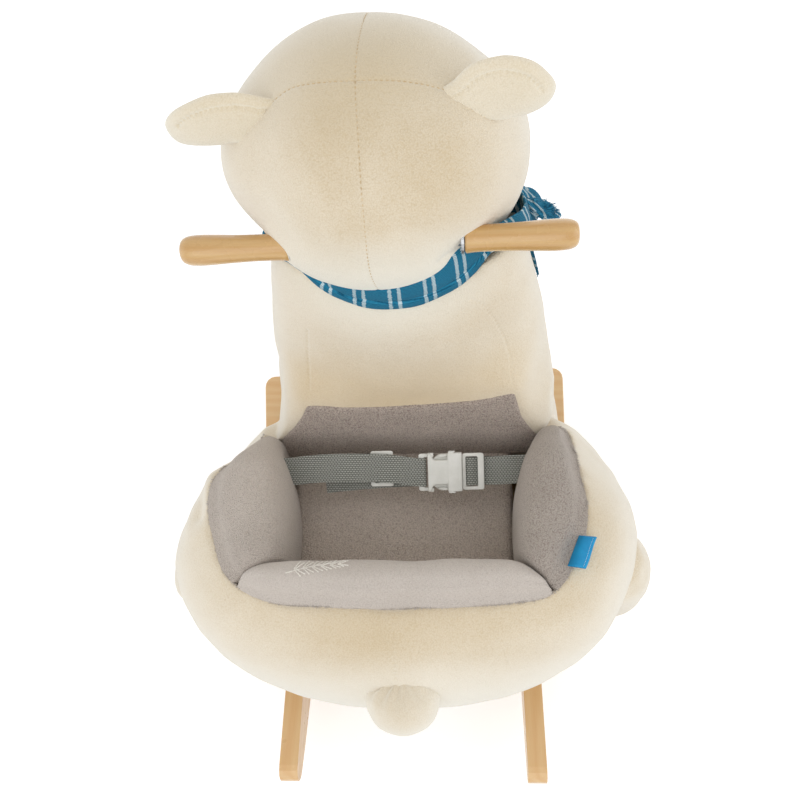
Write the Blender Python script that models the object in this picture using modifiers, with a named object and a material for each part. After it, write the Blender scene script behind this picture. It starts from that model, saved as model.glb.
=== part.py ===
# Rocking animal: a plush ride-on with a bucket seat on two wooden rockers.
# Metres. +Z is up, +Y is towards the nose, +X is the side of the belt's insert.
# The origin is on the floor, halfway between the rockers, at the middle of their curve.

import math

import bmesh
import bpy
from mathutils import Matrix, Vector

# Fits
gap = 0.0003
cloth_gap = 0.0006
bolt_clearance = 0.0004

# Rockers
rocker_length = 0.556
rocker_thickness = 0.018
rocker_width_over_both = 0.255
rocker_curve_radius = 1.0
rocker_top_z = 0.062
rocker_edge_round = 0.0022
rocker_facets = 19

# Posts, cross bars and seat board
post_width = 0.030
post_depth = 0.040
post_bottom_z = 0.012
front_post_y = 0.029
rear_post_y = -0.125
post_bolt_z = 0.036
post_bolt_diameter = 0.006
post_bolt_head_diameter = 0.015
post_bolt_head_height = 0.003
crossbar_depth = 0.044
crossbar_thickness = 0.016
crossbar_bottom_z = 0.028
front_crossbar_y = 0.092
rear_crossbar_y = -0.075
seat_board_thickness = 0.012
seat_board_bottom_z = 0.130
seat_board_half_width = 0.130
seat_board_front_y = 0.074
seat_board_rear_y = -0.165
seat_board_corner = 0.030
board_cavity_low_z = 0.08

# Footrest
footrest_width = 0.340
footrest_depth = 0.098
footrest_thickness = 0.012
footrest_corner = 0.012
footrest_tilt = math.radians(27)
footrest_rear_y = 0.060
footrest_screw_diameter = 0.005
footrest_screw_length = 0.024
footrest_screw_head_diameter = 0.010
footrest_screw_head_height = 0.002

# Neck post and handle
neck_post_width = 0.060
neck_post_thickness = 0.018
neck_post_head_room = 0.022
neck_post_top_room = 0.002
nut_room = 0.001
bracket_width = 0.020
bracket_leg = 0.032
bracket_thickness = 0.002
bracket_offset_x = 0.018
handle_y = 0.040
handle_z = 0.454
handle_span = 0.292
grip_inner_x = 0.064
rod_diameter = 0.010
rod_end_cover = 0.016
washer_diameter = 0.022
washer_thickness = 0.002
nut_width = 0.017
nut_height = 0.006
grip_neck_radius = 0.0099
grip_bulge_radius = 0.0114
grip_flare_radius = 0.0106

# Plan sections of the plush body and of the chest and neck: z, half width, rear y, front y, fullness
body_sections = [
    (0.112, 0.105, -0.170, 0.040, 2.3),
    (0.118, 0.158, -0.205, 0.070, 2.3),
    (0.145, 0.192, -0.228, 0.080, 2.3),
    (0.185, 0.206, -0.238, 0.066, 2.3),
    (0.225, 0.202, -0.235, 0.036, 2.3),
    (0.260, 0.188, -0.222, 0.004, 2.4),
    (0.286, 0.166, -0.196, -0.022, 2.5),
    (0.292, 0.120, -0.160, -0.040, 2.5),
]
neck_sections = [
    (0.116, 0.090, -0.020, 0.105, 2.3),
    (0.124, 0.130, -0.030, 0.138, 2.4),
    (0.155, 0.148, -0.030, 0.157, 2.4),
    (0.200, 0.141, -0.020, 0.163, 2.3),
    (0.250, 0.132, -0.006, 0.161, 2.2),
    (0.300, 0.125, 0.003, 0.158, 2.2),
    (0.350, 0.116, 0.013, 0.156, 2.1),
    (0.400, 0.105, 0.024, 0.154, 2.0),
    (0.450, 0.095, 0.034, 0.150, 2.0),
    (0.460, 0.060, 0.050, 0.130, 2.0),
]

# Seat bucket
seat_foam_height = 0.040
seat_pad_top_z = 0.218
seat_middle = (0.0, -0.085)
seat_half_width = 0.095
seat_corner = 0.012
seat_pad_round = 0.006
seat_inner_rear_y = -0.137
seat_outer_rear_y = -0.180
bolster_top_z = 0.300
rear_bolster_top_z = 0.294
bolster_round = 0.013
bolster_slope_y = -0.058
bolster_slope = math.radians(36)
panel_rear_y = -0.008
panel_front_y = 0.004
panel_bottom_z = seat_pad_top_z - 0.030
panel_top_z = 0.292
panel_wide = 0.118
panel_narrow = 0.092
panel_wide_z = 0.232
panel_round = 0.003

# The liner's right half from above, as (x, y) from front to rear: outer seam, then inner crease
outer_seam = [
    (0.135, -0.015),
    (0.144, -0.029),
    (0.151, -0.050),
    (0.155, -0.078),
    (0.155, -0.100),
    (0.149, -0.124),
    (0.138, -0.149),
    (0.124, -0.164),
    (0.106, -0.172),
    (0.080, -0.177),
]
outer_seam_front_x = 0.124
outer_mitre_point = 7
inner_crease = [
    (0.114, -0.022),
    (0.106, -0.042),
    (0.099, -0.064),
    (0.095, -0.087),
]

# Plush head, drawn as balls
head_centre = Vector((0.0, 0.116, 0.464))
head_size = Vector((0.115, 0.104, 0.100))
muzzle_centre = Vector((0.0, 0.218, 0.434))
muzzle_size = Vector((0.050, 0.040, 0.036))
nose_centre = Vector((0.0, 0.256, 0.444))
nose_size = Vector((0.015, 0.009, 0.010))
eye_place = Vector((0.042, 0.212, 0.487))
eye_radius = 0.008
ear_centre = Vector((0.099, 0.088, 0.534))
ear_size = Vector((0.034, 0.010, 0.024))
ear_lean = math.radians(22)
tail_centre = Vector((0.0, -0.238, 0.212))
tail_radius = 0.030

# Legs: centre x, centre y, half width, half depth, lowest and highest point
hind_leg = (0.186, -0.100, 0.045, 0.040, 0.052, 0.180)
front_leg = (0.092, 0.188, 0.037, 0.035, 0.068, 0.215)
front_leg_set_back = 0.022
leg_fullness = 2.2

# Scarf
scarf_height = 0.026
scarf_thickness = 0.005
scarf_knot_centre = Vector((0.109, 0.127, 0.388))
scarf_knot_size = Vector((0.026, 0.020, 0.018))
scarf_end_start_x = 0.036
scarf_end_width = 0.036
scarf_end_spacing = 0.002
scarf_end_thickness = 0.004
scarf_end_inner_bottom = 0.268
scarf_end_outer_bottom = 0.292

# Lower edge of the scarf's band from the side, as (y, z): at the nape, beside the neck, at the throat
scarf_nape = (0.0, 0.395)
scarf_side = (0.078, 0.419)
scarf_throat = (0.190, 0.328)

# Lap belt
belt_place = Vector((0.0, -0.048, 0.250))
belt_tilt = math.radians(31)
webbing_width = 0.025
webbing_thickness = 0.0014
webbing_end_x = 0.115
webbing_return_x = -0.066
strap_fold = 0.004
belt_slot_depth = 0.1435
belt_slot_play = 0.001
belt_mouth_depth = 0.110
buckle_start_x = 0.018
buckle_width = 0.034
buckle_thickness = 0.011
buckle_bar = 0.005
buckle_bar_thickness = 0.003
buckle_slot = 0.0033
buckle_body_length = 0.030
buckle_wall = 0.0032
buckle_back_wall = 0.003
window_start = 0.0045
window_length = 0.015
insert_frame_length = 0.019
insert_width = 0.030
insert_thickness = 0.0034
insert_rim = 0.0024
insert_bar = 0.0055
insert_root = 0.004
tongue_width = 0.007
latch_arm_width = 0.0025
latch_pad_length = 0.013
latch_pad_width = 0.005
slider_x = -0.0145
slider_length = 0.020
slider_width = 0.0315
slider_bar = 0.004

# Tag in the seam
tag_length = 0.028
tag_reach = 0.015
tag_thickness = 0.001
tag_place = Vector((0.1430, -0.1385, 0.2950))
tag_turn = math.radians(-24)
tag_droop = math.radians(12)

# Colours
cream = (0.80, 0.72, 0.58)
cream_dark = (0.74, 0.65, 0.51)
grey = (0.42, 0.38, 0.35)
grey_light = (0.55, 0.50, 0.47)
web_grey = (0.30, 0.33, 0.31)
plastic_grey = (0.62, 0.63, 0.59)
wood = (0.75, 0.52, 0.27)
plywood = (0.70, 0.55, 0.34)
steel = (0.60, 0.60, 0.61)
blue = (0.03, 0.19, 0.35)
tag_blue = (0.02, 0.26, 0.60)
black = (0.02, 0.018, 0.016)
foam_white = (0.85, 0.84, 0.80)

# Worked out from the sizes above
rocker_outer_x = rocker_width_over_both / 2
rocker_middle_x = rocker_outer_x - rocker_thickness / 2
rocker_inner_x = rocker_outer_x - rocker_thickness
post_x = rocker_inner_x - gap - post_width / 2
seat_board_top_z = seat_board_bottom_z + seat_board_thickness
foam_bottom_z = seat_board_top_z + gap
foam_top_z = foam_bottom_z + seat_foam_height
pad_bottom_z = foam_top_z + gap
seat_front_y = panel_rear_y - cloth_gap
neck_post_rear_y = handle_y - neck_post_thickness / 2
neck_post_front_y = handle_y + neck_post_thickness / 2
buckle_body_x = buckle_start_x + buckle_bar + buckle_slot
buckle_end_x = buckle_body_x + buckle_body_length
insert_start_x = buckle_end_x + gap

for old in list(bpy.data.objects):
    bpy.data.objects.remove(old, do_unlink=True)

parts = bpy.data.collections.new("rocking_animal")
cutters = bpy.data.collections.new("cutters")
bpy.context.scene.collection.children.link(parts)
bpy.context.scene.collection.children.link(cutters)


def make_material(name, colour, roughness, metallic):
    material = bpy.data.materials.new(name + "_material")
    material.use_nodes = True
    shader = material.node_tree.nodes["Principled BSDF"]
    shader.inputs["Base Color"].default_value = (*colour, 1)
    shader.inputs["Roughness"].default_value = roughness
    shader.inputs["Metallic"].default_value = metallic
    return material


def add_object(name, mesh, colour=None, roughness=0.7, metallic=0.0):
    """A piece when it has a colour, a cutter when it has none."""
    piece = bpy.data.objects.new(name, mesh)
    if colour is None:
        cutters.objects.link(piece)
        piece.hide_render = True
        piece.display_type = "WIRE"
    else:
        parts.objects.link(piece)
        mesh.materials.append(make_material(name, colour, roughness, metallic))
    return piece


def mesh_from(name, build):
    mesh = bpy.data.meshes.new(name)
    shape = bmesh.new()
    build(shape)
    bmesh.ops.recalc_face_normals(shape, faces=shape.faces)
    shape.to_mesh(mesh)
    shape.free()
    return mesh


def box(name, low, high, **look):
    """A box between two corners, with its origin at its middle."""
    low, high = Vector(low), Vector(high)
    size = high - low

    def build(shape):
        bmesh.ops.create_cube(shape, size=1.0)
        bmesh.ops.scale(shape, vec=size, verts=shape.verts)

    piece = add_object(name, mesh_from(name, build), **look)
    piece.location = (low + high) / 2
    return piece


def rod(name, radius, start, end, sides=24, **look):
    """A cylinder from one point to another."""
    start, end = Vector(start), Vector(end)
    length = (end - start).length

    def build(shape):
        bmesh.ops.create_cone(
            shape, cap_ends=True, segments=sides, radius1=radius, radius2=radius, depth=length
        )

    piece = add_object(name, mesh_from(name, build), **look)
    piece.location = (start + end) / 2
    piece.rotation_euler = (end - start).to_track_quat("Z", "Y").to_euler()
    smooth(piece)
    return piece


def ball(name, centre, size, columns=24, rows=14, **look):
    def build(shape):
        bmesh.ops.create_uvsphere(shape, u_segments=columns, v_segments=rows, radius=1.0)
        bmesh.ops.scale(shape, vec=size, verts=shape.verts)

    piece = add_object(name, mesh_from(name, build), **look)
    piece.location = centre
    smooth(piece)
    return piece


def outline(name, points, thickness, **look):
    """A flat shape from its outline in XY, with its thickness along Z."""
    curve = bpy.data.curves.new(name + "_outline", "CURVE")
    curve.dimensions = "2D"
    curve.fill_mode = "BOTH"
    curve.extrude = thickness / 2
    spline = curve.splines.new("POLY")
    spline.points.add(len(points) - 1)
    for point, (x, y) in zip(spline.points, points):
        point.co = (x, y, 0, 1)
    spline.use_cyclic_u = True
    drawn = bpy.data.objects.new(name + "_outline", curve)
    bpy.context.scene.collection.objects.link(drawn)
    bpy.context.view_layer.update()
    seen = drawn.evaluated_get(bpy.context.evaluated_depsgraph_get())
    mesh = bpy.data.meshes.new_from_object(seen)
    bpy.data.objects.remove(drawn)
    bpy.data.curves.remove(curve)
    shape = bmesh.new()
    shape.from_mesh(mesh)
    bmesh.ops.remove_doubles(shape, verts=shape.verts, dist=1e-6)
    bmesh.ops.recalc_face_normals(shape, faces=shape.faces)
    shape.to_mesh(mesh)
    shape.free()
    mesh.name = name
    return add_object(name, mesh, **look)


def turned(name, profile, steps=24, **look):
    """A shape turned about Z from (radius, height) points, top to bottom."""
    mesh = bpy.data.meshes.new(name)
    edges = [(i, i + 1) for i in range(len(profile) - 1)]
    mesh.from_pydata([(r, 0, z) for r, z in profile], edges, [])
    piece = add_object(name, mesh, **look)
    screw = piece.modifiers.new("Turn", "SCREW")
    screw.steps = steps
    screw.render_steps = steps
    screw.use_merge_vertices = True
    screw.merge_threshold = 0.00001
    screw.use_smooth_shade = True
    return piece


def loft(name, levels, points=12, smoothing=2, **look):
    """A soft form through stacked plan sections.

    A level is (z, half width, rear y, front y, fullness), and a fullness of 2 is an ellipse.
    The cage stands outside the surface that it controls, so each ring is widened by that much.
    """
    widen = 1 / (2 / 3 + math.cos(math.tau / points) / 3)

    def build(shape):
        rings = []
        for z, half_width, rear, front, fullness in levels:
            middle, half_depth = (rear + front) / 2, (front - rear) / 2
            ring = []
            for i in range(points):
                angle = math.tau * i / points
                across, along = math.cos(angle), math.sin(angle)
                x = widen * half_width * math.copysign(abs(across) ** (2 / fullness), across)
                y = widen * half_depth * math.copysign(abs(along) ** (2 / fullness), along)
                ring.append(shape.verts.new((x, middle + y, z)))
            rings.append(ring)
        for lower, upper in zip(rings, rings[1:]):
            for i in range(points):
                j = (i + 1) % points
                shape.faces.new((lower[i], lower[j], upper[j], upper[i]))
        shape.faces.new(rings[0])
        shape.faces.new(rings[-1])

    piece = add_object(name, mesh_from(name, build), **look)
    soften = piece.modifiers.new("Soften", "SUBSURF")
    soften.levels = smoothing
    soften.render_levels = smoothing
    smooth(piece)
    return piece


def smooth(piece):
    piece.data.shade_smooth()


def round_edges(piece, width, segments=2, angle=40):
    bevel = piece.modifiers.new("Round", "BEVEL")
    bevel.width = width
    bevel.segments = segments
    bevel.limit_method = "ANGLE"
    bevel.angle_limit = math.radians(angle)
    return piece


def combine(piece, other, operation):
    boolean = piece.modifiers.new(operation.title(), "BOOLEAN")
    boolean.operation = operation
    boolean.object = other
    boolean.solver = "EXACT"
    return piece


def cut(piece, cutter):
    return combine(piece, cutter, "DIFFERENCE")


def both_sides():
    return (("left", -1), ("right", 1))


def rocker_outline():
    """The side view: a curved lower edge, round ends and a straight top."""
    half = rocker_length / 2
    rise = rocker_curve_radius - rocker_top_z
    reach = rise + rocker_curve_radius - half
    end_radius = math.sqrt(reach**2 - half**2 - rise**2 + rocker_curve_radius**2) - reach
    end_y, end_z = half - end_radius, rocker_top_z - end_radius
    swing = math.atan2(end_y, rocker_curve_radius - end_z)
    points = []
    for i in range(rocker_facets + 1):
        angle = swing * (2 * i / rocker_facets - 1)
        points.append(
            (
                rocker_curve_radius * math.sin(angle),
                rocker_curve_radius * (1 - math.cos(angle)),
            )
        )
    end_steps = 7
    for i in range(1, end_steps + 1):
        angle = swing - math.pi / 2 + (math.pi - swing) * i / end_steps
        points.append((end_y + end_radius * math.cos(angle), end_z + end_radius * math.sin(angle)))
    for i in range(end_steps):
        angle = math.pi / 2 + (math.pi - swing) * i / end_steps
        points.append((-end_y + end_radius * math.cos(angle), end_z + end_radius * math.sin(angle)))
    lowest = min(z for _, z in points)
    return [(y, z - lowest) for y, z in points]


def upright(piece, x):
    """Turns a flat outline drawn in (y, z) to stand across X, its middle plane at x."""
    piece.matrix_world = Matrix(((0, 0, 1, x), (1, 0, 0, 0), (0, 1, 0, 0), (0, 0, 0, 1)))
    return piece


def bolt_hole(side, y):
    return rod(
        f"bolt_hole_{side}_{y:.3f}",
        post_bolt_diameter / 2 + bolt_clearance,
        (side * (rocker_outer_x + 0.01), y, post_bolt_z),
        (side * (post_x - post_width), y, post_bolt_z),
    )


def make_base():
    for word, side in both_sides():
        rocker = upright(
            outline(f"rocker_{word}", rocker_outline(), rocker_thickness, colour=wood, roughness=0.35),
            side * rocker_middle_x,
        )
        round_edges(rocker, rocker_edge_round)
        for place, y in (("front", front_post_y), ("rear", rear_post_y)):
            hole = bolt_hole(side, y)
            cut(rocker, hole)
            post = box(
                f"post_{place}_{word}",
                (side * post_x - post_width / 2, y - post_depth / 2, post_bottom_z),
                (side * post_x + post_width / 2, y + post_depth / 2, seat_board_bottom_z - gap),
                colour=wood,
                roughness=0.45,
            )
            round_edges(post, 0.002, segments=1)
            cut(post, hole)
            make_bolt(f"bolt_{place}_{word}", side, y)

    for place, y in (("front", front_crossbar_y), ("rear", rear_crossbar_y)):
        bar = box(
            f"crossbar_{place}",
            (gap - rocker_inner_x, y - crossbar_depth / 2, crossbar_bottom_z),
            (rocker_inner_x - gap, y + crossbar_depth / 2, crossbar_bottom_z + crossbar_thickness),
            colour=wood,
            roughness=0.45,
        )
        round_edges(bar, 0.002, segments=1)

    board = outline(
        "seat_board",
        seat_board_outline(),
        seat_board_thickness,
        colour=plywood,
    )
    board.location.z = (seat_board_bottom_z + seat_board_top_z) / 2
    round_edges(board, 0.001, segments=1)


def seat_board_outline(clearance=0.0):
    side = seat_board_half_width + clearance
    rear, front = seat_board_rear_y - clearance, seat_board_front_y + clearance
    return rounded_rectangle(-side, rear, side, front, seat_board_corner)


def make_bolt(name, side, y):
    """A round-headed bolt along X, its head on the rocker's outer face."""
    radius = post_bolt_diameter / 2
    head = post_bolt_head_diameter / 2
    reach = rocker_thickness + post_width - 0.002
    profile = [
        (0, post_bolt_head_height),
        (head * 0.55, post_bolt_head_height * 0.85),
        (head * 0.88, post_bolt_head_height * 0.45),
        (head, 0),
        (radius, 0),
        (radius, -reach),
        (0, -reach),
    ]
    bolt = turned(name, profile, steps=16, colour=steel, roughness=0.3, metallic=1.0)
    bolt.location = (side * (rocker_outer_x + gap), y, post_bolt_z)
    bolt.rotation_euler = (0, side * math.pi / 2, 0)


def rounded_rectangle(left, rear, right, front, radius, steps=4):
    """Counter-clockwise points of a rectangle with round corners."""
    corners = (
        (right - radius, front - radius, 0),
        (left + radius, front - radius, 1),
        (left + radius, rear + radius, 2),
        (right - radius, rear + radius, 3),
    )
    points = []
    for x, y, quarter in corners:
        for i in range(steps + 1):
            angle = math.pi / 2 * (quarter + i / steps)
            points.append((x + radius * math.cos(angle), y + radius * math.sin(angle)))
    return points


def make_footrest():
    """A board tilted up towards the front, on a wedge on each rocker."""
    rise, run = math.sin(footrest_tilt), math.cos(footrest_tilt)
    base = Vector((0, footrest_rear_y, rocker_top_z + gap))
    wedge_length = (footrest_depth - 0.018) * run
    board = outline(
        "footrest_board",
        rounded_rectangle(-footrest_width / 2, 0, footrest_width / 2, footrest_depth, footrest_corner),
        footrest_thickness,
        colour=wood,
        roughness=0.4,
    )
    lift = footrest_thickness / 2 + gap
    board.location = base + Vector((0, -rise * lift, run * lift))
    board.rotation_euler = (footrest_tilt, 0, 0)
    round_edges(board, 0.002)
    for word, side in both_sides():
        corners = [(0, 0), (wedge_length, 0), (wedge_length, wedge_length * rise / run)]
        corners = [(base.y + y, base.z + z) for y, z in corners]
        wedge = upright(
            outline(f"footrest_wedge_{word}", corners, rocker_thickness, colour=wood, roughness=0.45),
            side * rocker_middle_x,
        )
        middle = footrest_depth * 0.55
        place = base + Vector((0, run * middle, rise * middle))
        up = Vector((0, -rise, run))
        place = place + up * (footrest_thickness + gap)
        place.x = side * rocker_middle_x
        hole = rod(
            f"footrest_hole_{word}",
            footrest_screw_diameter / 2 + bolt_clearance,
            place + up * 0.01,
            place - up * (footrest_screw_length + bolt_clearance),
            sides=16,
        )
        cut(board, hole)
        cut(wedge, hole)
        screw = turned(
            f"footrest_screw_{word}",
            [
                (0, footrest_screw_head_height),
                (footrest_screw_head_diameter * 0.35, footrest_screw_head_height),
                (footrest_screw_head_diameter / 2, gap),
                (footrest_screw_diameter / 2, gap),
                (footrest_screw_diameter / 2, -footrest_screw_length),
                (0, -footrest_screw_length),
            ],
            steps=16,
            colour=steel,
            roughness=0.3,
            metallic=1.0,
        )
        screw.location = place
        screw.rotation_euler = (footrest_tilt, 0, 0)


def make_neck_post():
    post = box(
        "neck_post",
        (-neck_post_width / 2, neck_post_rear_y, foam_bottom_z),
        (neck_post_width / 2, neck_post_front_y, handle_z + neck_post_head_room),
        colour=plywood,
    )
    round_edges(post, 0.002, segments=1)
    cut(post, rod_bore())
    rear, foot = neck_post_front_y + gap, foam_bottom_z
    corners = [
        (rear, foot),
        (rear + bracket_leg, foot),
        (rear + bracket_leg, foot + bracket_thickness),
        (rear + bracket_thickness, foot + bracket_thickness),
        (rear + bracket_thickness, foot + bracket_leg),
        (rear, foot + bracket_leg),
    ]
    look = {"colour": steel, "roughness": 0.4, "metallic": 1.0}
    for word, side in both_sides():
        bracket = outline(f"neck_bracket_{word}", corners, bracket_width, **look)
        upright(bracket, side * bracket_offset_x)


def rod_bore():
    """The rod's way through the neck post and the head's filling."""
    return rod(
        "rod_bore",
        rod_diameter / 2 + bolt_clearance,
        (-grip_inner_x, handle_y, handle_z),
        (grip_inner_x, handle_y, handle_z),
    )


def make_handle():
    rod_end = handle_span / 2 - rod_end_cover
    rod(
        "handle_rod",
        rod_diameter / 2,
        (-rod_end, handle_y, handle_z),
        (rod_end, handle_y, handle_z),
        colour=steel,
        roughness=0.3,
        metallic=1.0,
    )
    length = handle_span / 2 - grip_inner_x
    profile = [
        (0, length),
        (grip_bulge_radius * 0.42, length * 0.99),
        (grip_bulge_radius * 0.76, length * 0.955),
        (grip_bulge_radius * 0.95, length * 0.895),
        (grip_bulge_radius, length * 0.80),
        (grip_bulge_radius * 0.965, length * 0.66),
        (grip_neck_radius * 1.01, length * 0.45),
        (grip_neck_radius, length * 0.25),
        (grip_neck_radius * 1.02, length * 0.08),
        (grip_flare_radius, length * 0.02),
        (grip_flare_radius * 0.93, 0),
        (0, 0),
    ]
    for word, side in both_sides():
        grip = turned(f"grip_{word}", profile, colour=wood, roughness=0.25)
        grip.location = (side * grip_inner_x, handle_y, handle_z)
        grip.rotation_euler = (0, side * math.pi / 2, 0)
        bore = rod(
            f"grip_bore_{word}",
            rod_diameter / 2 + gap,
            (side * (grip_inner_x - 0.01), handle_y, handle_z),
            (side * (rod_end + gap), handle_y, handle_z),
        )
        cut(grip, bore)
        ring(f"handle_washer_{word}", side, grip_inner_x - gap, washer_diameter, washer_thickness, 24)
        ring(
            f"handle_nut_{word}",
            side,
            neck_post_width / 2 + gap + nut_height,
            nut_width / math.cos(math.pi / 6),
            nut_height,
            6,
        )


def ring(name, side, outer_x, diameter, thickness, sides):
    """A washer or nut on the rod, with its outer face at outer_x."""
    piece = rod(
        name,
        diameter / 2,
        (side * (outer_x - thickness), handle_y, handle_z),
        (side * outer_x, handle_y, handle_z),
        sides=sides,
        colour=steel,
        roughness=0.35,
        metallic=1.0,
    )
    hole = rod(
        name + "_hole",
        rod_diameter / 2 + gap,
        (side * (outer_x - thickness * 2), handle_y, handle_z),
        (side * (outer_x + thickness), handle_y, handle_z),
    )
    cut(piece, hole)
    piece.data.shade_flat()


def grown(sections, more):
    """Plan sections that stand out by more all round, below and above too."""
    levels = [(z, w + more, rear - more, front + more, n) for z, w, rear, front, n in sections]
    for i, lift in ((0, -more), (1, -more), (-1, more)):
        levels[i] = (levels[i][0] + lift, *levels[i][1:])
    return levels


def body_form(name, more=0.0, **look):
    """The plush body round the seat; more makes it larger all round."""
    return loft(name, grown(body_sections, more), points=16, smoothing=1, **look)


def neck_form(name, more=0.0, **look):
    """The chest and neck; more makes them larger all round."""
    return loft(name, grown(neck_sections, more), points=16, smoothing=1, **look)


def seat_outline(side, clearance=0.0):
    """One side of the seat liner's outer seam, front to rear, seen from above."""
    middle = Vector(seat_middle)
    points = []
    for point in [(outer_seam_front_x, seat_front_y), *outer_seam]:
        outward = (Vector(point) - middle).normalized()
        moved = Vector(point) + outward * clearance
        points.append((side * moved.x, moved.y))
    return points


def extruded(name, points, low, high, **look):
    piece = outline(name, points, high - low, **look)
    piece.location.z = (low + high) / 2
    return piece


def seat_cavity():
    """The hollow of the plush body that the seat liner fills."""
    right, left = seat_outline(1, cloth_gap), seat_outline(-1, cloth_gap)
    points = right + [(0, seat_outer_rear_y - cloth_gap)] + left[::-1]
    return extruded("seat_cavity", points, seat_board_top_z, bolster_top_z + 0.04)


def board_cavity():
    """The hollow for the seat board, open at the underside of the body."""
    points = seat_board_outline(cloth_gap)
    return extruded("board_cavity", points, board_cavity_low_z, seat_board_top_z + cloth_gap)


def post_room():
    """The hollow for the neck post, from the seat board up into the head."""
    side = neck_post_width / 2 + cloth_gap
    top = handle_z + neck_post_head_room + neck_post_top_room
    return box(
        "post_room",
        (-side, neck_post_rear_y - cloth_gap, seat_board_bottom_z),
        (side, neck_post_front_y + cloth_gap, top),
    )


def bracket_room():
    side = bracket_offset_x + bracket_width / 2 + cloth_gap
    front = neck_post_front_y + gap + bracket_leg + cloth_gap
    top = foam_bottom_z + bracket_leg + cloth_gap
    return box("bracket_room", (-side, handle_y, seat_board_bottom_z), (side, front, top))


def nuts_room():
    """The hollow in the head for the two nuts of the handle's rod."""
    side = neck_post_width / 2 + gap + nut_height + nut_room
    around = nut_width / 2 / math.cos(math.pi / 6) + nut_room
    return box(
        "nuts_room",
        (-side, handle_y - around, handle_z - around),
        (side, handle_y + around, handle_z + around),
    )


def head_ball(name, more=0.0, **look):
    return ball(name, head_centre, head_size + Vector((more, more, more)), columns=28, rows=16, **look)


def make_plush():
    post_hollow = post_room()
    body = body_form("body_plush", colour=cream)
    combine(body, neck_form("neck_form"), "UNION")
    cut(body, seat_cavity())
    cut(body, panel_shape("panel_recess", cloth_gap, behind=0.006))
    cut(body, board_cavity())
    cut(body, post_hollow)
    cut(body, bracket_room())
    cut(body, head_ball("head_socket", cloth_gap))

    head = head_ball("head_plush", colour=cream)
    cut(head, post_hollow)
    cut(head, nuts_room())
    cut(head, rod_bore())
    for word, side in both_sides():
        pocket = rod(
            f"grip_pocket_{word}",
            washer_diameter / 2 + 0.002,
            (side * (grip_inner_x - washer_thickness - gap - cloth_gap), handle_y, handle_z),
            (side * 0.16, handle_y, handle_z),
        )
        cut(head, pocket)

    head_outside = head_ball("head_outside", cloth_gap)
    body_outside = body_form("body_outside", cloth_gap)
    neck_outside = neck_form("neck_outside", cloth_gap)

    muzzle = ball("muzzle", muzzle_centre, muzzle_size, 20, 12, colour=cream)
    cut(muzzle, head_outside)
    nose = ball("nose", nose_centre, nose_size, 12, 8, colour=black, roughness=0.3)
    cut(nose, ball("muzzle_outside", muzzle_centre, muzzle_size + Vector((gap, gap, gap)), 20, 12))
    for word, side in both_sides():
        place = Vector((side * eye_place.x, eye_place.y, eye_place.z))
        size = Vector((1, 1, 1)) * eye_radius
        eye = ball(f"eye_{word}", place, size, 12, 8, colour=black, roughness=0.15)
        cut(eye, head_outside)
        place = Vector((side * ear_centre.x, ear_centre.y, ear_centre.z))
        ear = ball(f"ear_{word}", place, ear_size, 16, 10, colour=cream_dark)
        ear.rotation_euler = (0, -side * ear_lean, 0)
        cut(ear, head_outside)

    tail = ball("tail", tail_centre, Vector((1, 1, 1)) * tail_radius, 16, 10, colour=cream)
    cut(tail, body_outside)

    for word, side in both_sides():
        make_leg(f"leg_hind_{word}", side, hind_leg, 0.0, body_outside)
        make_leg(f"leg_front_{word}", side, front_leg, front_leg_set_back, neck_outside, body_outside)


def make_leg(name, side, sizes, set_back, *outsides):
    """A stubby leg that hangs from the body; its top leans back by set_back."""
    x, y, half_width, half_depth, low, high = sizes
    height = high - low
    levels = []
    for share, width in ((-0.03, 0.55), (0.05, 0.90), (0.25, 1.04), (0.6, 1.0), (1.0, 0.92)):
        centre = y - set_back * max(0.0, share) ** 2
        rear, front = centre - half_depth * width, centre + half_depth * width
        levels.append((low + share * height, half_width * width, rear, front, leg_fullness))
    leg = loft(name, levels, points=10, smoothing=1, colour=cream)
    leg.location.x = side * x
    for outside in outsides:
        cut(leg, outside)


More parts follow.
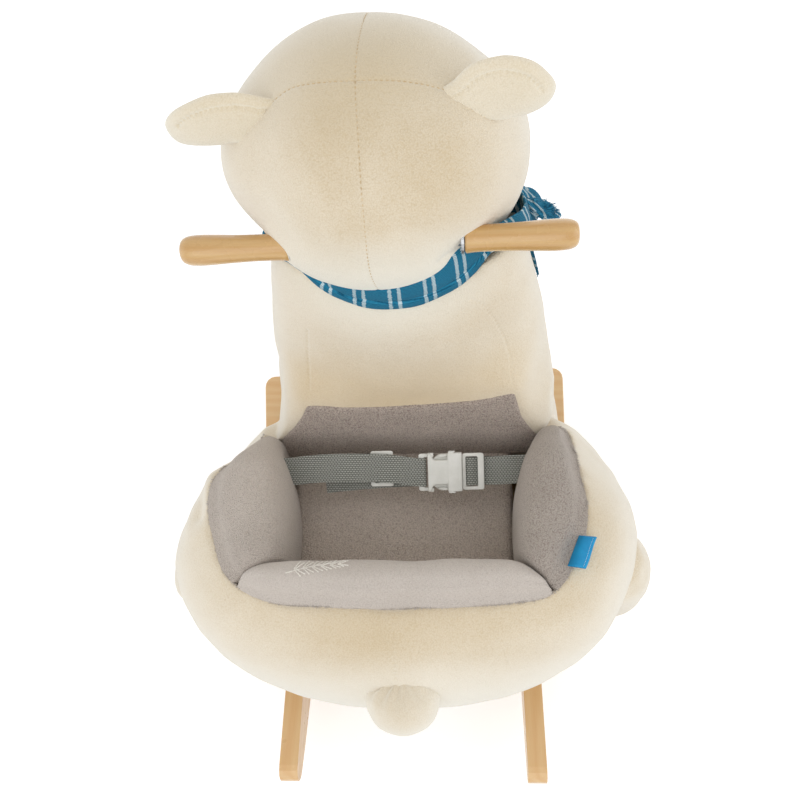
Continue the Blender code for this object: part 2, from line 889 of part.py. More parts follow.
def make_seat():
    side_x = seat_half_width - cloth_gap
    front, rear = seat_front_y - cloth_gap, seat_inner_rear_y + cloth_gap
    cushion = rounded_rectangle(-side_x, rear, side_x, front, seat_corner, steps=2)
    extruded("seat_foam", cushion, foam_bottom_z, foam_top_z, colour=foam_white)
    pad = extruded("seat_pad", cushion, pad_bottom_z, seat_pad_top_z, colour=grey)
    round_edges(pad, seat_pad_round)

    slot_side = webbing_width / 2 + belt_slot_play
    slot = box(
        "belt_slot",
        (-belt_slot_depth, -slot_side, webbing_level() - webbing_thickness),
        (belt_slot_depth, slot_side, webbing_level() + webbing_thickness),
    )
    on_belt(slot)
    mouth_side = insert_width / 2 + belt_slot_play
    mouth_reach = insert_level() + webbing_thickness / 2 + belt_slot_play
    mouth = box(
        "belt_mouth",
        (0, -mouth_side, -mouth_reach),
        (belt_mouth_depth, mouth_side, mouth_reach),
    )
    on_belt(mouth)

    for word, side in both_sides():
        inner = [(side_mitre().x, side_mitre().y), *inner_crease[::-1], (panel_wide, seat_front_y)]
        outer = seat_outline(1)[: outer_mitre_point + 1]
        corner = outer_mitre()
        points = inner + outer + [(corner.x + mitre_gap(), corner.y + mitre_gap())]
        points = [(side * x, y) for x, y in points]
        bolster = extruded(f"bolster_{word}", points, foam_bottom_z, bolster_top_z, colour=grey)
        round_edges(bolster, bolster_round, angle=60)
        cut(bolster, slot)
        if side > 0:
            cut(bolster, mouth)
        cut(bolster, front_slope(word))

    behind = [
        (side_mitre().x - mitre_gap(), seat_inner_rear_y),
        (outer_mitre().x - mitre_gap(), outer_mitre().y - mitre_gap()),
        *outer_seam[outer_mitre_point + 1 :],
    ]
    rear_points = behind + [(0, seat_outer_rear_y)] + [(-x, y) for x, y in behind[::-1]]
    bolster = extruded("bolster_rear", rear_points, foam_bottom_z, rear_bolster_top_z, colour=grey_light)
    round_edges(bolster, bolster_round, angle=60)

    round_edges(panel_shape("seat_panel", colour=grey), panel_round)


def front_slope(word):
    """Takes the front ends of the side bolsters down towards the legs' way out."""
    slope = box(f"front_slope_{word}", (-0.2, 0, 0), (0.2, 0.08, 0.06))
    slope.matrix_world = (
        Matrix.Translation((0, bolster_slope_y, bolster_top_z + gap))
        @ Matrix.Rotation(-bolster_slope, 4, "X")
        @ Matrix.Translation((0, 0.04, 0.03))
    )
    return slope


def panel_shape(name, more=0.0, behind=0.0, **look):
    """The grey panel on the back of the neck, wider at its foot; more makes it larger all round."""
    half = [
        (panel_wide - 0.002 + more, panel_bottom_z - more),
        (panel_wide + more, panel_wide_z),
        (panel_narrow + more, panel_top_z - 0.003 + more),
        (panel_narrow * 0.5, panel_top_z + more),
    ]
    points = half + [(-x, z) for x, z in half[::-1]]
    rear, front = panel_rear_y - behind, panel_front_y + more
    panel = outline(name, points, front - rear, **look)
    panel.rotation_euler = (math.pi / 2, 0, 0)
    panel.location = (0, (front + rear) / 2, 0)
    return panel


def side_mitre():
    """Inner end of the mitre between a side bolster and the rear one."""
    return Vector((seat_half_width, seat_inner_rear_y))


def outer_mitre():
    """Outer end of the same mitre."""
    return Vector(outer_seam[outer_mitre_point])


def mitre_gap():
    return cloth_gap * 0.7


def on_belt(piece):
    """Sets a piece drawn in the belt's own frame in its place."""
    piece.matrix_world = belt_matrix() @ piece.matrix_basis
    return piece


def belt_matrix():
    return Matrix.Translation(belt_place) @ Matrix.Rotation(belt_tilt, 4, "X")


def webbing_level():
    """Height of the upper webbing's middle over the buckle's middle plane."""
    return buckle_bar_thickness / 2 + gap + webbing_thickness / 2


def insert_level():
    """Height of the right webbing's middle over the insert's middle plane."""
    return insert_thickness / 2 + gap + webbing_thickness / 2


def webbing(name, pieces):
    """Flat webbing of one width, from (start x, end x, low, high) stretches that meet."""
    first = None
    for i, (start, end, low, high) in enumerate(pieces):
        look = {"colour": web_grey, "roughness": 0.85} if i == 0 else {}
        stretch = box(
            name if i == 0 else f"{name}_stretch_{i}",
            (start, -webbing_width / 2, low),
            (end, webbing_width / 2, high),
            **look,
        )
        on_belt(stretch)
        if first is None:
            first = stretch
        else:
            combine(first, stretch, "UNION")
    return first


def make_belt():
    level = webbing_level()
    half = webbing_thickness / 2
    turn_x = buckle_start_x + buckle_bar + gap
    webbing(
        "strap_left",
        [
            (-webbing_end_x, turn_x + webbing_thickness, level - half, level + half),
            (turn_x, turn_x + webbing_thickness, -level, level),
            (webbing_return_x, turn_x + webbing_thickness, -level - half, -level + half),
        ],
    )
    reach = insert_level()
    bar_end = insert_start_x + insert_frame_length
    loop_x = bar_end - insert_bar - gap - webbing_thickness
    webbing(
        "strap_right",
        [
            (loop_x, webbing_end_x, reach - half, reach + half),
            (loop_x, loop_x + webbing_thickness, -reach, reach),
            (loop_x, bar_end + strap_fold, -reach - half, -reach + half),
        ],
    )
    make_housing()
    make_insert()
    make_slider()


def make_housing():
    """The buckle's sleeve, with a bar for the webbing and a window in each side."""
    half_width, half_height = buckle_width / 2, buckle_thickness / 2
    housing = box(
        "buckle_housing",
        (buckle_body_x, -half_width, -half_height),
        (buckle_end_x, half_width, half_height),
        colour=plastic_grey,
        roughness=0.4,
    )
    round_edges(housing, 0.0022)
    on_belt(housing)
    frame = box(
        "housing_frame",
        (buckle_start_x, -half_width + 0.0005, -buckle_bar_thickness / 2),
        (buckle_body_x + 0.003, half_width - 0.0005, buckle_bar_thickness / 2),
    )
    combine(housing, on_belt(frame), "UNION")
    slot = box(
        "housing_slot",
        (buckle_start_x + buckle_bar, -webbing_width / 2 - 0.0008, -half_height),
        (buckle_body_x, webbing_width / 2 + 0.0008, half_height),
    )
    cut(housing, on_belt(slot))
    sleeve = box(
        "housing_sleeve",
        (buckle_body_x + buckle_back_wall, -sleeve_half_width(), -sleeve_half_height()),
        (buckle_end_x + 0.01, sleeve_half_width(), sleeve_half_height()),
    )
    cut(housing, on_belt(sleeve))
    for word, side in (("lower", -1), ("upper", 1)):
        reach = sorted((side * (half_width - 0.009), side * (half_width + 0.01)))
        window = box(
            f"housing_window_{word}",
            (buckle_body_x + window_start, reach[0], -sleeve_half_height()),
            (buckle_body_x + window_start + window_length, reach[1], sleeve_half_height()),
        )
        cut(housing, on_belt(window))


def sleeve_half_width():
    return buckle_width / 2 - buckle_wall


def sleeve_half_height():
    return insert_thickness / 2 + gap


def make_insert():
    """The frame that the right webbing loops through, its tongue and its two latches."""
    look = {"colour": plastic_grey, "roughness": 0.4}
    half_width, half_height = insert_width / 2, insert_thickness / 2
    end_x = insert_start_x + insert_frame_length
    low, high = (insert_start_x, -half_width, -half_height), (end_x, half_width, half_height)
    insert = box("buckle_insert", low, high, **look)
    round_edges(insert, 0.0008, segments=1)
    on_belt(insert)
    opening = box(
        "insert_opening",
        (insert_start_x + insert_rim, -half_width + insert_rim, -0.01),
        (end_x - insert_bar, half_width - insert_rim, 0.01),
    )
    cut(insert, on_belt(opening))
    root = box(
        "insert_root",
        (insert_start_x - insert_root, gap - sleeve_half_width(), -half_height),
        (insert_start_x + insert_rim / 2, sleeve_half_width() - gap, half_height),
    )
    combine(insert, on_belt(root), "UNION")
    tongue = box(
        "insert_tongue",
        (buckle_body_x + buckle_back_wall + 0.002, -tongue_width / 2, -half_height),
        (insert_start_x, tongue_width / 2, half_height),
    )
    combine(insert, on_belt(tongue), "UNION")

    pad_start = buckle_body_x + window_start + (window_length - latch_pad_length) / 2
    for word, side in (("lower", -1), ("upper", 1)):
        outer = sleeve_half_width() - gap
        arm_y = sorted((side * (outer - latch_arm_width), side * outer))
        pad_y = sorted((side * (outer - latch_pad_width), side * outer))
        hinge = Vector((latch_hinge_x(), side * (outer - latch_arm_width / 2), 0))
        low, high = (pad_start, arm_y[0], -half_height), (hinge.x, arm_y[1], half_height)
        latch = box(f"latch_{word}", low, high, **look)
        move_origin(latch, hinge)
        on_belt(latch)
        root = rod(
            f"latch_root_{word}",
            latch_arm_width / 2,
            hinge - Vector((0, 0, half_height)),
            hinge + Vector((0, 0, half_height)),
            sides=16,
        )
        combine(latch, on_belt(root), "UNION")
        pad = box(
            f"latch_pad_{word}",
            (pad_start, pad_y[0], -half_height),
            (pad_start + latch_pad_length, pad_y[1], half_height),
        )
        combine(latch, on_belt(pad), "UNION")


def latch_hinge_x():
    """Where a latch bends, in the belt's frame; its root ends just short of the insert's."""
    return insert_start_x - insert_root - gap - latch_arm_width / 2


def move_origin(piece, place):
    """Puts the origin of a piece that isn't turned yet at a place, and the shape stays."""
    piece.data.transform(Matrix.Translation(piece.location - place))
    piece.location = place


def make_slider():
    """The strap slider between the two layers of the left webbing."""
    half_height = buckle_bar_thickness / 2 - gap
    slider = box(
        "strap_slider",
        (slider_x - slider_length / 2, -slider_width / 2, -half_height),
        (slider_x + slider_length / 2, slider_width / 2, half_height),
        colour=plastic_grey,
        roughness=0.4,
    )
    round_edges(slider, 0.0009, segments=1)
    on_belt(slider)
    for word, side in (("inner", -1), ("outer", 1)):
        start = sorted((side * slider_bar / 2, side * (slider_length / 2 - slider_bar * 0.8)))
        slot = box(
            f"slider_slot_{word}",
            (slider_x + start[0], -webbing_width / 2, -0.01),
            (slider_x + start[1], webbing_width / 2, 0.01),
        )
        cut(slider, on_belt(slot))


def scarf_region(name, low, high):
    """Everything between two lines that are drawn as (y, z) points from rear to front."""
    region = outline(name, low + high[::-1], 0.4)
    return upright(region, 0.0)


def make_scarf():
    """A band round the neck, a knot at the right of the chest and two ends below it."""
    low = [scarf_nape, scarf_side, scarf_throat]
    high = [(y, z + scarf_height) for y, z in low]
    inside = neck_form("scarf_inside", cloth_gap)
    head = head_ball("scarf_head_room", cloth_gap)
    band = neck_form("scarf_band", cloth_gap + scarf_thickness, colour=blue)
    combine(band, scarf_region("scarf_band_region", low, high), "INTERSECT")
    cut(band, inside)
    cut(band, head)

    knot = ball("scarf_knot", scarf_knot_centre, scarf_knot_size, 14, 8, colour=blue)
    cut(knot, neck_form("band_outside", cloth_gap * 2 + scarf_thickness))
    cut(knot, head)

    more = Vector((cloth_gap, cloth_gap, cloth_gap))
    knot_outside = ball("knot_outside", scarf_knot_centre, scarf_knot_size + more, 14, 8)
    next_x = scarf_end_start_x + scarf_end_width + scarf_end_spacing
    ends = (
        ("inner", scarf_end_start_x, scarf_end_inner_bottom),
        ("outer", next_x, scarf_end_outer_bottom),
    )
    for word, start_x, bottom in ends:
        end = neck_form(f"scarf_end_{word}", cloth_gap + scarf_end_thickness, colour=blue)
        low, high = (start_x, handle_y, 0), (start_x + scarf_end_width, 0.3, 1)
        window = box(f"scarf_end_{word}_width", low, high)
        top = [(y, z - cloth_gap) for y, z in (scarf_side, scarf_throat)]
        foot = [(y, bottom) for y, _ in top]
        combine(end, window, "INTERSECT")
        combine(end, scarf_region(f"scarf_end_{word}_region", foot, top), "INTERSECT")
        cut(end, inside)
        cut(end, knot_outside)


def make_tag():
    """A small folded tag that stands out of the seam at the right of the seat."""
    tag = box(
        "label_tag",
        (0, -tag_length / 2, 0),
        (tag_reach, tag_length / 2, tag_thickness),
        colour=tag_blue,
        roughness=0.6,
    )
    tag.matrix_world = (
        Matrix.Translation(tag_place)
        @ Matrix.Rotation(tag_turn, 4, "Z")
        @ Matrix.Rotation(tag_droop, 4, "Y")
        @ tag.matrix_basis
    )


make_base()
make_footrest()
make_neck_post()
make_handle()
make_plush()
make_seat()
make_belt()
make_scarf()
make_tag()
bpy.context.view_layer.update()
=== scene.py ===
import math
import random

import bmesh
import bpy
import numpy as np
from mathutils import Matrix, Vector, noise
from mathutils.bvhtree import BVHTree


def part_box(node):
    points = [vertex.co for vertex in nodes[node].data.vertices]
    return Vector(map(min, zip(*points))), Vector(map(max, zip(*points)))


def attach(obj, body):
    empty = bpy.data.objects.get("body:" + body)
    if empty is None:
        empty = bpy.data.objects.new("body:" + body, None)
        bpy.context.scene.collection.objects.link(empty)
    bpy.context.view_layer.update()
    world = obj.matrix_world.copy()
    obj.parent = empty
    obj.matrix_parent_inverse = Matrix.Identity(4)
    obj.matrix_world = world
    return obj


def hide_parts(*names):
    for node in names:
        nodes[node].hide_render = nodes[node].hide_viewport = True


# Looks of the rocking animal: plush, seat liner, belt, scarf and wooden rockers
# Metres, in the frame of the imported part: +Z up, +Y towards the nose

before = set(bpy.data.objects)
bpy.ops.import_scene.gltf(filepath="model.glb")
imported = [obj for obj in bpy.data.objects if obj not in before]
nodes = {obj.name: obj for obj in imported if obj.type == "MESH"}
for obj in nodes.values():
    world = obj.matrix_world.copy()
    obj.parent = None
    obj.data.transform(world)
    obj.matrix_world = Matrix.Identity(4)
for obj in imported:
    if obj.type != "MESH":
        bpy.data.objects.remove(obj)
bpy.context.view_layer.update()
random.seed(7)
print("frame loaded:", len(nodes), "nodes")

# Camera of the photograph

shot = {
    "place": Vector((0.06364, -0.36523, 0.91127)),
    "turn": math.radians(9.215),
    "down": math.radians(59.0),
    "roll": math.radians(-9.532),
    "focalPixels": 826.64,
    "picturePixels": 800,
    "sensor": 36.0,
}


def placed(name, data):  # a new object in the scene
    thing = bpy.data.objects.new(name, data)
    bpy.context.scene.collection.objects.link(thing)
    return thing


def makeCamera():
    turn, down, roll = shot["turn"], shot["down"], shot["roll"]
    ahead = Vector((-math.sin(turn) * math.cos(down), math.cos(turn) * math.cos(down), -math.sin(down)))
    flatRight = Vector((math.cos(turn), math.sin(turn), 0))
    flatUp = flatRight.cross(ahead)
    right = math.cos(roll) * flatRight + math.sin(roll) * flatUp
    up = math.cos(roll) * flatUp - math.sin(roll) * flatRight
    lens = bpy.data.cameras.new("photoCamera")
    lens.sensor_width = shot["sensor"]
    lens.lens = shot["focalPixels"] * shot["sensor"] / shot["picturePixels"]
    lens.clip_start = 0.01
    seen = placed("photoCamera", lens)
    rows = [(right[i], up[i], -ahead[i], shot["place"][i]) for i in range(3)]
    seen.matrix_world = Matrix((*rows, (0, 0, 0, 1)))
    bpy.context.scene.camera = seen


makeCamera()

# Nodes of materials


def tint(code):  # a linear colour from its usual six figures
    parts = [int(code[i : i + 2], 16) / 255 for i in (0, 2, 4)]
    return (*[c / 12.92 if c <= 0.04045 else ((c + 0.055) / 1.055) ** 2.4 for c in parts], 1.0)


def join(tree, node, links):  # sets each input to its value, or joins it to another node
    for socket, value in links.items():
        if isinstance(value, bpy.types.NodeSocket):
            tree.links.new(value, node.inputs[socket])
        else:
            node.inputs[socket].default_value = value


def put(tree, kind, links=None, **settings):
    node = tree.nodes.new("ShaderNode" + kind)
    for key, value in settings.items():
        setattr(node, key, value)
    join(tree, node, links or {})
    return node


def sums(tree, operation, a, b=0.0, c=0.0):
    return put(tree, "Math", {0: a, 1: b, 2: c}, operation=operation).outputs[0]


def vectors(tree, operation, links):
    return put(tree, "VectorMath", links, operation=operation).outputs


def clouds(tree, where, scale, detail=2.0, rough=0.5, twist=0.0):
    links = {"Vector": where, "Scale": scale, "Detail": detail, "Roughness": rough, "Distortion": twist}
    return put(tree, "TexNoise", links).outputs["Fac"]


def spread(tree, value, low, high, start=0.0, end=1.0):
    links = {"Value": value, "From Min": low, "From Max": high, "To Min": start, "To Max": end}
    return put(tree, "MapRange", links).outputs["Result"]


def ribbed(tree, value):  # one rib from each whole number to the next
    return sums(tree, "ABSOLUTE", sums(tree, "SINE", sums(tree, "MULTIPLY", value, math.pi)))


def blendColours(tree, share, first, second):
    return put(tree, "Mix", {0: share, 6: first, 7: second}, data_type="RGBA").outputs[2]


def stretched(tree, where, scale=(1, 1, 1), turn=(0, 0, 0)):
    links = {"Vector": where, "Scale": scale, "Rotation": turn}
    return put(tree, "Mapping", links).outputs["Vector"]


def newGroup(name, values, outputs):  # a group with a vector and these values as its inputs
    group = bpy.data.node_groups.new(name, "ShaderNodeTree")
    sockets = [("INPUT", "Vector", "Vector", None)]
    for label, v in values.items():
        sockets.append(("INPUT", label, "Color" if isinstance(v, tuple) else "Float", v))
    sockets += [("OUTPUT", label, "Color" if label == "Colour" else "Float", None) for label in outputs]
    for way, label, kind, value in sockets:
        socket = group.interface.new_socket(name=label, in_out=way, socket_type="NodeSocket" + kind)
        if value is not None:
            socket.default_value = value
    start, end = group.nodes.new("NodeGroupInput"), group.nodes.new("NodeGroupOutput")
    return group, start.outputs, end


def give(group, end, **results):
    join(group, end, results)
    return group


def clothPile():  # brushed short pile: soft patches, strokes of the nap and single tufts
    group, given, end = newGroup(
        "clothPile", {"Patches": 22.0, "Tufts": 900.0, "Cloudy": 0.3}, ("Shade", "Height"),
    )
    where, tufts, cloudy = given["Vector"], given["Tufts"], given["Cloudy"]
    patches = clouds(group, where, given["Patches"], 3.0, 0.55, 0.4)
    strokes = clouds(group, stretched(group, where, (1, 0.5, 0.7), (0.3, 0.2, 0.6)), tufts, 2.0, 0.6, 0.5)
    cells = {"Vector": where, "Scale": tufts, "Randomness": 0.9}
    apart = put(group, "TexVoronoi", cells).outputs["Distance"]
    nubs = sums(group, "MULTIPLY_ADD", apart, -0.65, sums(group, "MULTIPLY_ADD", strokes, 0.4, 0.62))
    sharp = sums(group, "SUBTRACT", 1.0, cloudy)
    shade = sums(group, "MULTIPLY_ADD", nubs, sharp, sums(group, "MULTIPLY", patches, cloudy))
    return give(group, end, Shade=shade, Height=nubs)


def woodGrain():  # growth lines and fibres along the X of its vector
    values = {"Lines": 46.0, "Pale": (1, 1, 1, 1), "Dark": (0, 0, 0, 1)}
    group, given, end = newGroup("woodGrain", values, ("Colour", "Height", "Worn"))
    where = given["Vector"]
    along = stretched(group, where, (0.07, 1, 1))
    sway = put(group, "TexNoise", {"Vector": along, "Scale": 9.0, "Detail": 2.0}).outputs["Color"]
    sway = vectors(group, "SCALE", {0: sway, "Scale": 0.03})[0]
    moved = vectors(group, "ADD", {0: along, 1: sway})[0]
    rings = {
        "Vector": moved, "Scale": given["Lines"], "Distortion": 3.0, "Detail": 3.0, "Detail Scale": 2.0,
    }
    lines = put(group, "TexWave", rings, wave_type="BANDS", bands_direction="DIAGONAL").outputs["Fac"]
    fibres = clouds(group, stretched(group, where, (0.025, 1, 1)), 1500.0, 3.0, 0.6)
    broad = clouds(group, along, 24.0, 2.0)
    share = sums(group, "MULTIPLY_ADD", lines, 0.22, sums(group, "MULTIPLY", fibres, 0.4))
    share = spread(group, sums(group, "MULTIPLY_ADD", broad, 0.38, share), 0.22, 0.8)
    colour = blendColours(group, share, given["Pale"], given["Dark"])
    return give(group, end, Colour=colour, Height=fibres, Worn=clouds(group, where, 60.0, 2.0))


def webWeave():  # staggered rows of short ribs; X runs along the webbing
    group, given, end = newGroup("webWeave", {"Pitch": 0.0026, "Row": 0.00175}, ("Height", "Shade"))
    axes = put(group, "SeparateXYZ", {0: given["Vector"]}).outputs
    row = sums(group, "DIVIDE", axes["Y"], given["Row"])
    stagger = sums(group, "MULTIPLY", sums(group, "FLOOR", row), 0.5)
    rib = ribbed(group, sums(group, "ADD", sums(group, "DIVIDE", axes["X"], given["Pitch"]), stagger))
    across = ribbed(group, row)
    height = sums(group, "MULTIPLY", sums(group, "POWER", rib, 0.6), sums(group, "POWER", across, 0.7))
    worn = clouds(group, given["Vector"], 900.0, 2.0)
    shade = sums(group, "MULTIPLY_ADD", height, 0.75, sums(group, "MULTIPLY", worn, 0.25))
    return give(group, end, Height=height, Shade=shade)


def plaidCloth():  # pairs of pale stripes over a ribbed weave; X runs along the scarf, in metres
    values = {"Repeat": 0.0277, "Thread": 0.001}
    group, given, end = newGroup("plaidCloth", values, ("Stripe", "Height", "Shade"))
    flat = given["Vector"]
    axes = put(group, "SeparateXYZ", {0: flat}).outputs
    ragged = clouds(group, stretched(group, flat, (0.3, 1, 1)), 1300.0, 1.0)
    moved = sums(group, "MULTIPLY_ADD", sums(group, "SUBTRACT", ragged, 0.5), 0.0022, axes["X"])
    turn = sums(group, "FRACT", sums(group, "DIVIDE", moved, given["Repeat"]))
    pair = [sums(group, "COMPARE", turn, middle, 0.05) for middle in (0.37, 0.63)]
    across, along = (sums(group, "DIVIDE", axes[key], given["Thread"]) for key in "YX")
    picks = ribbed(group, sums(group, "MULTIPLY_ADD", sums(group, "FLOOR", across), 0.5, along))
    height = sums(group, "MULTIPLY", ribbed(group, across), sums(group, "MULTIPLY_ADD", picks, 0.6, 0.4))
    slubs = clouds(group, stretched(group, flat, (1, 3, 1)), 700.0, 2.0)
    shade = sums(group, "MULTIPLY_ADD", slubs, 0.5, sums(group, "MULTIPLY", height, 0.5))
    bright = sums(group, "MULTIPLY_ADD", height, 0.75, 0.3)
    stripe = sums(group, "MULTIPLY", sums(group, "MAXIMUM", *pair), bright)
    return give(group, end, Stripe=stripe, Height=height, Shade=shade)


def fineGrain():  # faint unevenness of moulded, cast or coated surfaces
    group, given, end = newGroup("fineGrain", {"Grain": 1800.0}, ("Height", "Shade"))
    fine = clouds(group, given["Vector"], given["Grain"], 2.0)
    broad = clouds(group, given["Vector"], 70.0, 3.0, 0.6)
    shade = sums(group, "MULTIPLY_ADD", broad, 0.7, sums(group, "MULTIPLY", fine, 0.3))
    return give(group, end, Height=fine, Shade=shade)


groups = {make.__name__: make() for make in (clothPile, woodGrain, webWeave, plaidCloth, fineGrain)}


def useGroup(tree, name, **values):
    return put(tree, "Group", values, node_tree=groups[name]).outputs


def newMaterial(name, **sockets):
    material = bpy.data.materials.new(name)
    material.use_nodes = True
    tree = material.node_tree
    for label, value in sockets.items():
        tree.nodes["Principled BSDF"].inputs[label.replace("_", " ")].default_value = value
    return material, tree, put(tree, "TexCoord").outputs["Object"]


def finished(material, colour, height, depth, strength=1.0, **others):
    tree = material.node_tree
    bump = put(tree, "Bump", {"Height": height, "Distance": depth, "Strength": strength}).outputs[0]
    join(tree, tree.nodes["Principled BSDF"], {"Base Color": colour, "Normal": bump, **others})
    return material


def nearZone(tree, where, centre, size):  # 1 in the middle of an ellipsoid, 0 outside it
    away = vectors(tree, "SUBTRACT", {0: where, 1: centre})[0]
    away = vectors(tree, "MULTIPLY", {0: away, 1: [1 / s for s in size]})[0]
    return spread(tree, vectors(tree, "LENGTH", {0: away})["Value"], 0.15, 1.0, 1.0, 0.0)


def pileMaterial(name, cloth, tones, patches, tufts, cloudy, contrast, bump, lean, paintedLightZones=()):
    # tones: in the hollows, on the pile, and the painted sheen; lean: the painted sheen, by how far the
    # surface turns away from the view: from where it starts, to where it is full, and how much
    material, tree, where = newMaterial(name, **cloth)
    dark, light, tips = map(tint, tones)
    pile = useGroup(tree, "clothPile", Vector=where, Patches=patches, Tufts=tufts, Cloudy=cloudy)
    colour = blendColours(tree, spread(tree, pile["Shade"], 0.5 - contrast, 0.5 + contrast), dark, light)
    # painted sheen: the colour turns paler towards the edges of forms, where the surface turns away from the
    # view
    away = put(tree, "LayerWeight", {"Blend": 0.5}).outputs["Facing"]
    colour = blendColours(tree, spread(tree, away, lean[0], lean[1], 0.0, lean[2]), colour, tips)
    # painted light and shade: each zone blends its tone in round its centre
    for centre, size, most, tone in paintedLightZones:
        near = sums(tree, "MULTIPLY", nearZone(tree, where, centre, size), most)
        colour = blendColours(tree, near, colour, tint(tone))
    return finished(material, colour, pile["Height"], bump)


def woodMaterial(name, pale, dark, turn, lines=46.0, gloss=0.32, coat=0.3):
    material, tree, where = newMaterial(name, Coat_Weight=coat, Coat_Roughness=0.18)
    turned = stretched(tree, where, turn=turn)
    grain = useGroup(tree, "woodGrain", Vector=turned, Lines=lines, Pale=tint(pale), Dark=tint(dark))
    rough = spread(tree, grain["Worn"], 0.3, 0.7, gloss - 0.05, gloss + 0.08)
    return finished(material, grain["Colour"], grain["Height"], 0.00012, 0.6, Roughness=rough)


def grainMaterial(name, dark, light, rough, bump, grain=1800.0, **sockets):
    material, tree, where = newMaterial(name, **sockets)
    found = useGroup(tree, "fineGrain", Vector=where, Grain=grain)
    colour = blendColours(tree, spread(tree, found["Shade"], 0.35, 0.65), tint(dark), tint(light))
    rough = spread(tree, found["Shade"], 0.3, 0.7, rough - 0.05, rough + 0.07)
    return finished(material, colour, found["Height"], bump, Roughness=rough)


def webbingMaterial():
    material, tree, where = newMaterial(
        "greyWebbing", Roughness=0.75, Sheen_Weight=0.15, Sheen_Roughness=0.4,
    )
    weave = useGroup(tree, "webWeave", Vector=stretched(tree, where, turn=(-belt["tilt"], 0, 0)))
    colour = blendColours(tree, spread(tree, weave["Shade"], 0.15, 0.75), tint("3C3E3A"), tint("A5A69E"))
    return finished(material, colour, weave["Height"], 0.0005)


def scarfMaterial():
    wool = dict(Roughness=0.9, Sheen_Weight=0.05, Sheen_Roughness=0.5, Specular_IOR_Level=0.2)
    material, tree, _ = newMaterial("blueScarf", **wool)
    cloth = useGroup(tree, "plaidCloth", Vector=put(tree, "UVMap", uv_map="cloth").outputs["UV"])
    blue = blendColours(tree, spread(tree, cloth["Shade"], 0.25, 0.72), tint("084F6C"), tint("2A88AC"))
    colour = blendColours(tree, cloth["Stripe"], blue, tint("D2E4E8"))
    return finished(material, colour, cloth["Height"], 0.0004)


def plyMaterial():  # layers show where the board is cut
    material, tree, where = newMaterial("birchPly", Roughness=0.55)
    grain = useGroup(
        tree, "woodGrain", Vector=where, Lines=30.0, Pale=tint("E2C99C"), Dark=tint("C8A774"),
    )
    level = put(tree, "SeparateXYZ", {0: where}).outputs["Z"]
    layer = sums(tree, "GREATER_THAN", sums(tree, "FRACT", sums(tree, "DIVIDE", level, 0.0028)), 0.5)
    facing = put(tree, "SeparateXYZ", {0: put(tree, "NewGeometry").outputs["Normal"]}).outputs["Z"]
    edge = sums(tree, "LESS_THAN", sums(tree, "ABSOLUTE", facing), 0.5)
    colour = blendColours(tree, sums(tree, "MULTIPLY", layer, edge), grain["Colour"], tint("A98454"))
    return finished(material, colour, grain["Height"], 0.0001)


belt = {
    "place": Vector((0, -0.048, 0.25)),
    "tilt": math.radians(31),
    "webbing": 0.025,
    "thickness": 0.0014,
    "level": 0.0025,
    "insertLevel": 0.0027,
}

# turns that lay the grain of wood along X, Y or Z
alongX, alongY, alongZ = (0, 0, 0), (0, 0, math.pi / 2), (0, math.pi / 2, 0)
sheen = dict(Sheen_Weight=0.35, Sheen_Roughness=0.5, Sheen_Tint=tint("FFFDF6"))
plush = dict(sheen, Roughness=0.92, Specular_IOR_Level=0.12)
liner = dict(sheen, Roughness=0.95, Specular_IOR_Level=0.1, Sheen_Weight=0.25, Sheen_Tint=tint("FFFDFA"))

# painted light and shade on the plush: darker tan round the top of the seat panel, faintly just behind the
# rear bolster, and on the top of the head; paler low on the rear and on the neck under the head. Each:
# centre, size, share and tone
plushPaintedLightAndShade = [
    ((0.01, 0.01, 0.292), (0.15, 0.06, 0.062), 0.6, "D3BC95"),
    ((0.0, -0.188, 0.29), (0.17, 0.035, 0.045), 0.1, "D8BF96"),
    ((0.0, -0.225, 0.185), (0.21, 0.07, 0.085), 0.75, "F1EEE4"),
    ((0.0, 0.03, 0.425), (0.115, 0.075, 0.07), 0.9, "F3F0E4"),
    ((0.0, 0.11, 0.57), (0.13, 0.085, 0.06), 0.6, "CDBC9C"),
]
# painted light: the foot of the panel, above the pad, made paler against the shade there
panelPaintedLight = [((0.0, -0.01, 0.238), (0.125, 0.02, 0.03), 0.35, "CABDB2")]
# painted light: the left side bolster made paler, as if lit more from the left
leftBolsterPaintedLight = [((-0.125, -0.08, 0.275), (0.055, 0.11, 0.06), 0.6, "E2D7CC")]

